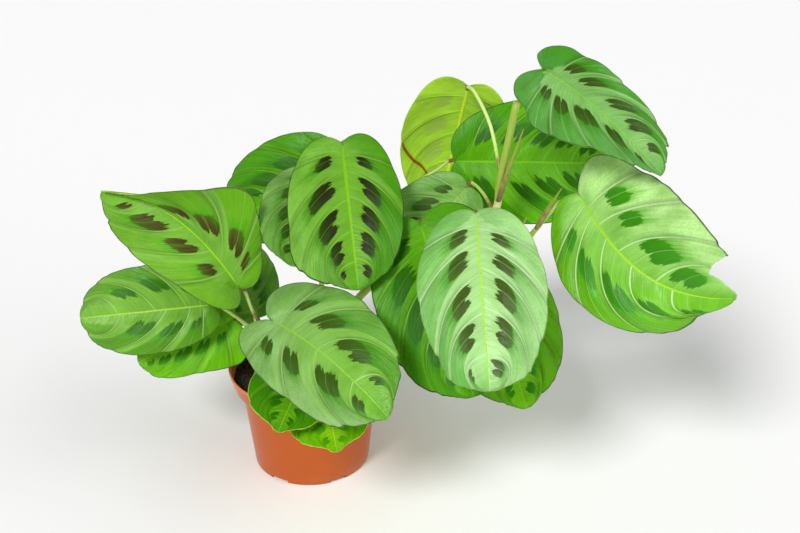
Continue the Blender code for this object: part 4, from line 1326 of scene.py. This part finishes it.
def make_crumbs(peat, edge):
    """Loose crumbs on the soil: regular bodies of twenty triangles, stretched and dented."""
    rng = np.random.default_rng(11)
    reach = edge * 0.97 * np.sqrt(rng.random(CRUMB_COUNT))
    angle = 2 * np.pi * rng.random(CRUMB_COUNT)
    x = reach * np.cos(angle)
    y = reach * np.sin(angle)
    size = CRUMB_SMALLEST + CRUMB_SPREAD * rng.random(CRUMB_COUNT) ** 3
    z = SOIL_TOP + lumps(x, y) + 0.2 * size
    golden = (1 + 5**0.5) / 2
    solid = np.array([(-1, golden, 0), (1, golden, 0), (-1, -golden, 0), (1, -golden, 0),
                      (0, -1, golden), (0, 1, golden), (0, -1, -golden), (0, 1, -golden),
                      (golden, 0, -1), (golden, 0, 1), (-golden, 0, -1), (-golden, 0, 1)])
    solid /= np.linalg.norm(solid[0])
    sides = np.array([(0, 11, 5), (0, 5, 1), (0, 1, 7), (0, 7, 10), (0, 10, 11), (1, 5, 9),
                      (5, 11, 4), (11, 10, 2), (10, 7, 6), (7, 1, 8), (3, 9, 4), (3, 4, 2),
                      (3, 2, 6), (3, 6, 8), (3, 8, 9), (4, 9, 5), (2, 4, 11), (6, 2, 10),
                      (8, 6, 7), (9, 8, 1)])
    stretch = 0.55 + 0.7 * rng.random((CRUMB_COUNT, 1, 3))
    jitter = 1 + 0.35 * (rng.random((CRUMB_COUNT, 12, 1)) - 0.5)
    turn = 2 * np.pi * rng.random((CRUMB_COUNT, 1))
    shape = solid[None] * stretch * jitter * size[:, None, None]
    shape = np.stack([shape[..., 0] * np.cos(turn) - shape[..., 1] * np.sin(turn),
                      shape[..., 0] * np.sin(turn) + shape[..., 1] * np.cos(turn),
                      shape[..., 2]], axis=-1)
    places = shape + np.stack([x, y, z], axis=-1)[:, None]
    faces = sides[None] + 12 * np.arange(CRUMB_COUNT)[:, None, None]
    crumbs = finish_mesh("soil_crumbs", places.reshape(-1, 3), faces.reshape(-1, 3).tolist(), [peat])
    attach(crumbs, "root")


def make_studio():
    """Pale floor and world, a large soft key light, a fill, and the camera."""
    scene = bpy.context.scene
    scene.view_settings.view_transform = "Standard"
    camera = bpy.data.objects.new("camera", bpy.data.cameras.new("camera"))
    camera.data.lens = CAMERA_LENS
    camera.data.sensor_width = CAMERA_SENSOR
    camera.data.clip_start = CAMERA_NEAR
    camera.location = CAMERA_PLACE
    camera.rotation_euler = (CAMERA_TILT, 0, 0)
    scene.collection.objects.link(camera)
    scene.camera = camera

    paint, nodes, shader = new_material("floor_paint", {"Roughness": 0.9})
    cloud = nodes.noise(nodes.place(), 3.0)
    nodes.feed(shader.inputs["Base Color"], nodes.mix(cloud, *FLOOR_COLOURS))
    side = FLOOR_SIZE / 2
    corners = np.array([(-side, -side, 0), (side, -side, 0), (side, side, 0), (-side, side, 0)])
    floor = finish_mesh("floor", corners, [(0, 1, 2, 3)], [paint])

    world = bpy.data.worlds.new("studio")
    world.use_nodes = True
    nodes = Nodes(world.node_tree)
    seen = nodes.out(nodes.add("LightPath"), "Is Camera Ray")
    nodes.feed_all(world.node_tree.nodes["Background"].inputs, {
        "Color": (1.0, 1.0, 1.0), "Strength": seen * (1 - WORLD_LIGHT) + WORLD_LIGHT})
    scene.world = world

    for name, (x, y, z), angle, power in LIGHTS:
        light = bpy.data.lights.new(name, "SUN")
        light.angle = math.radians(angle)
        light.energy = power
        lamp = bpy.data.objects.new(name, light)
        lamp.location = (x, y, z)
        lamp.rotation_euler = (math.atan2(math.hypot(x, y), z), 0, math.atan2(-y, -x) - math.pi / 2)
        scene.collection.objects.link(lamp)


def main():
    make_studio()
    leaves = {name: {**COMMON_LEAF, **own} for name, own in LEAVES.items()}
    pattern = leaf_pattern_group()
    stems = stem_group()
    for name, leaf in leaves.items():
        make_leaf(name, leaf, pattern)
    for name, shoot in SHOOTS.items():
        make_shoot(name, shoot, leaves, stems)
    make_pot()
    peat = soil_material()
    make_crumbs(peat, make_soil(peat))


main()
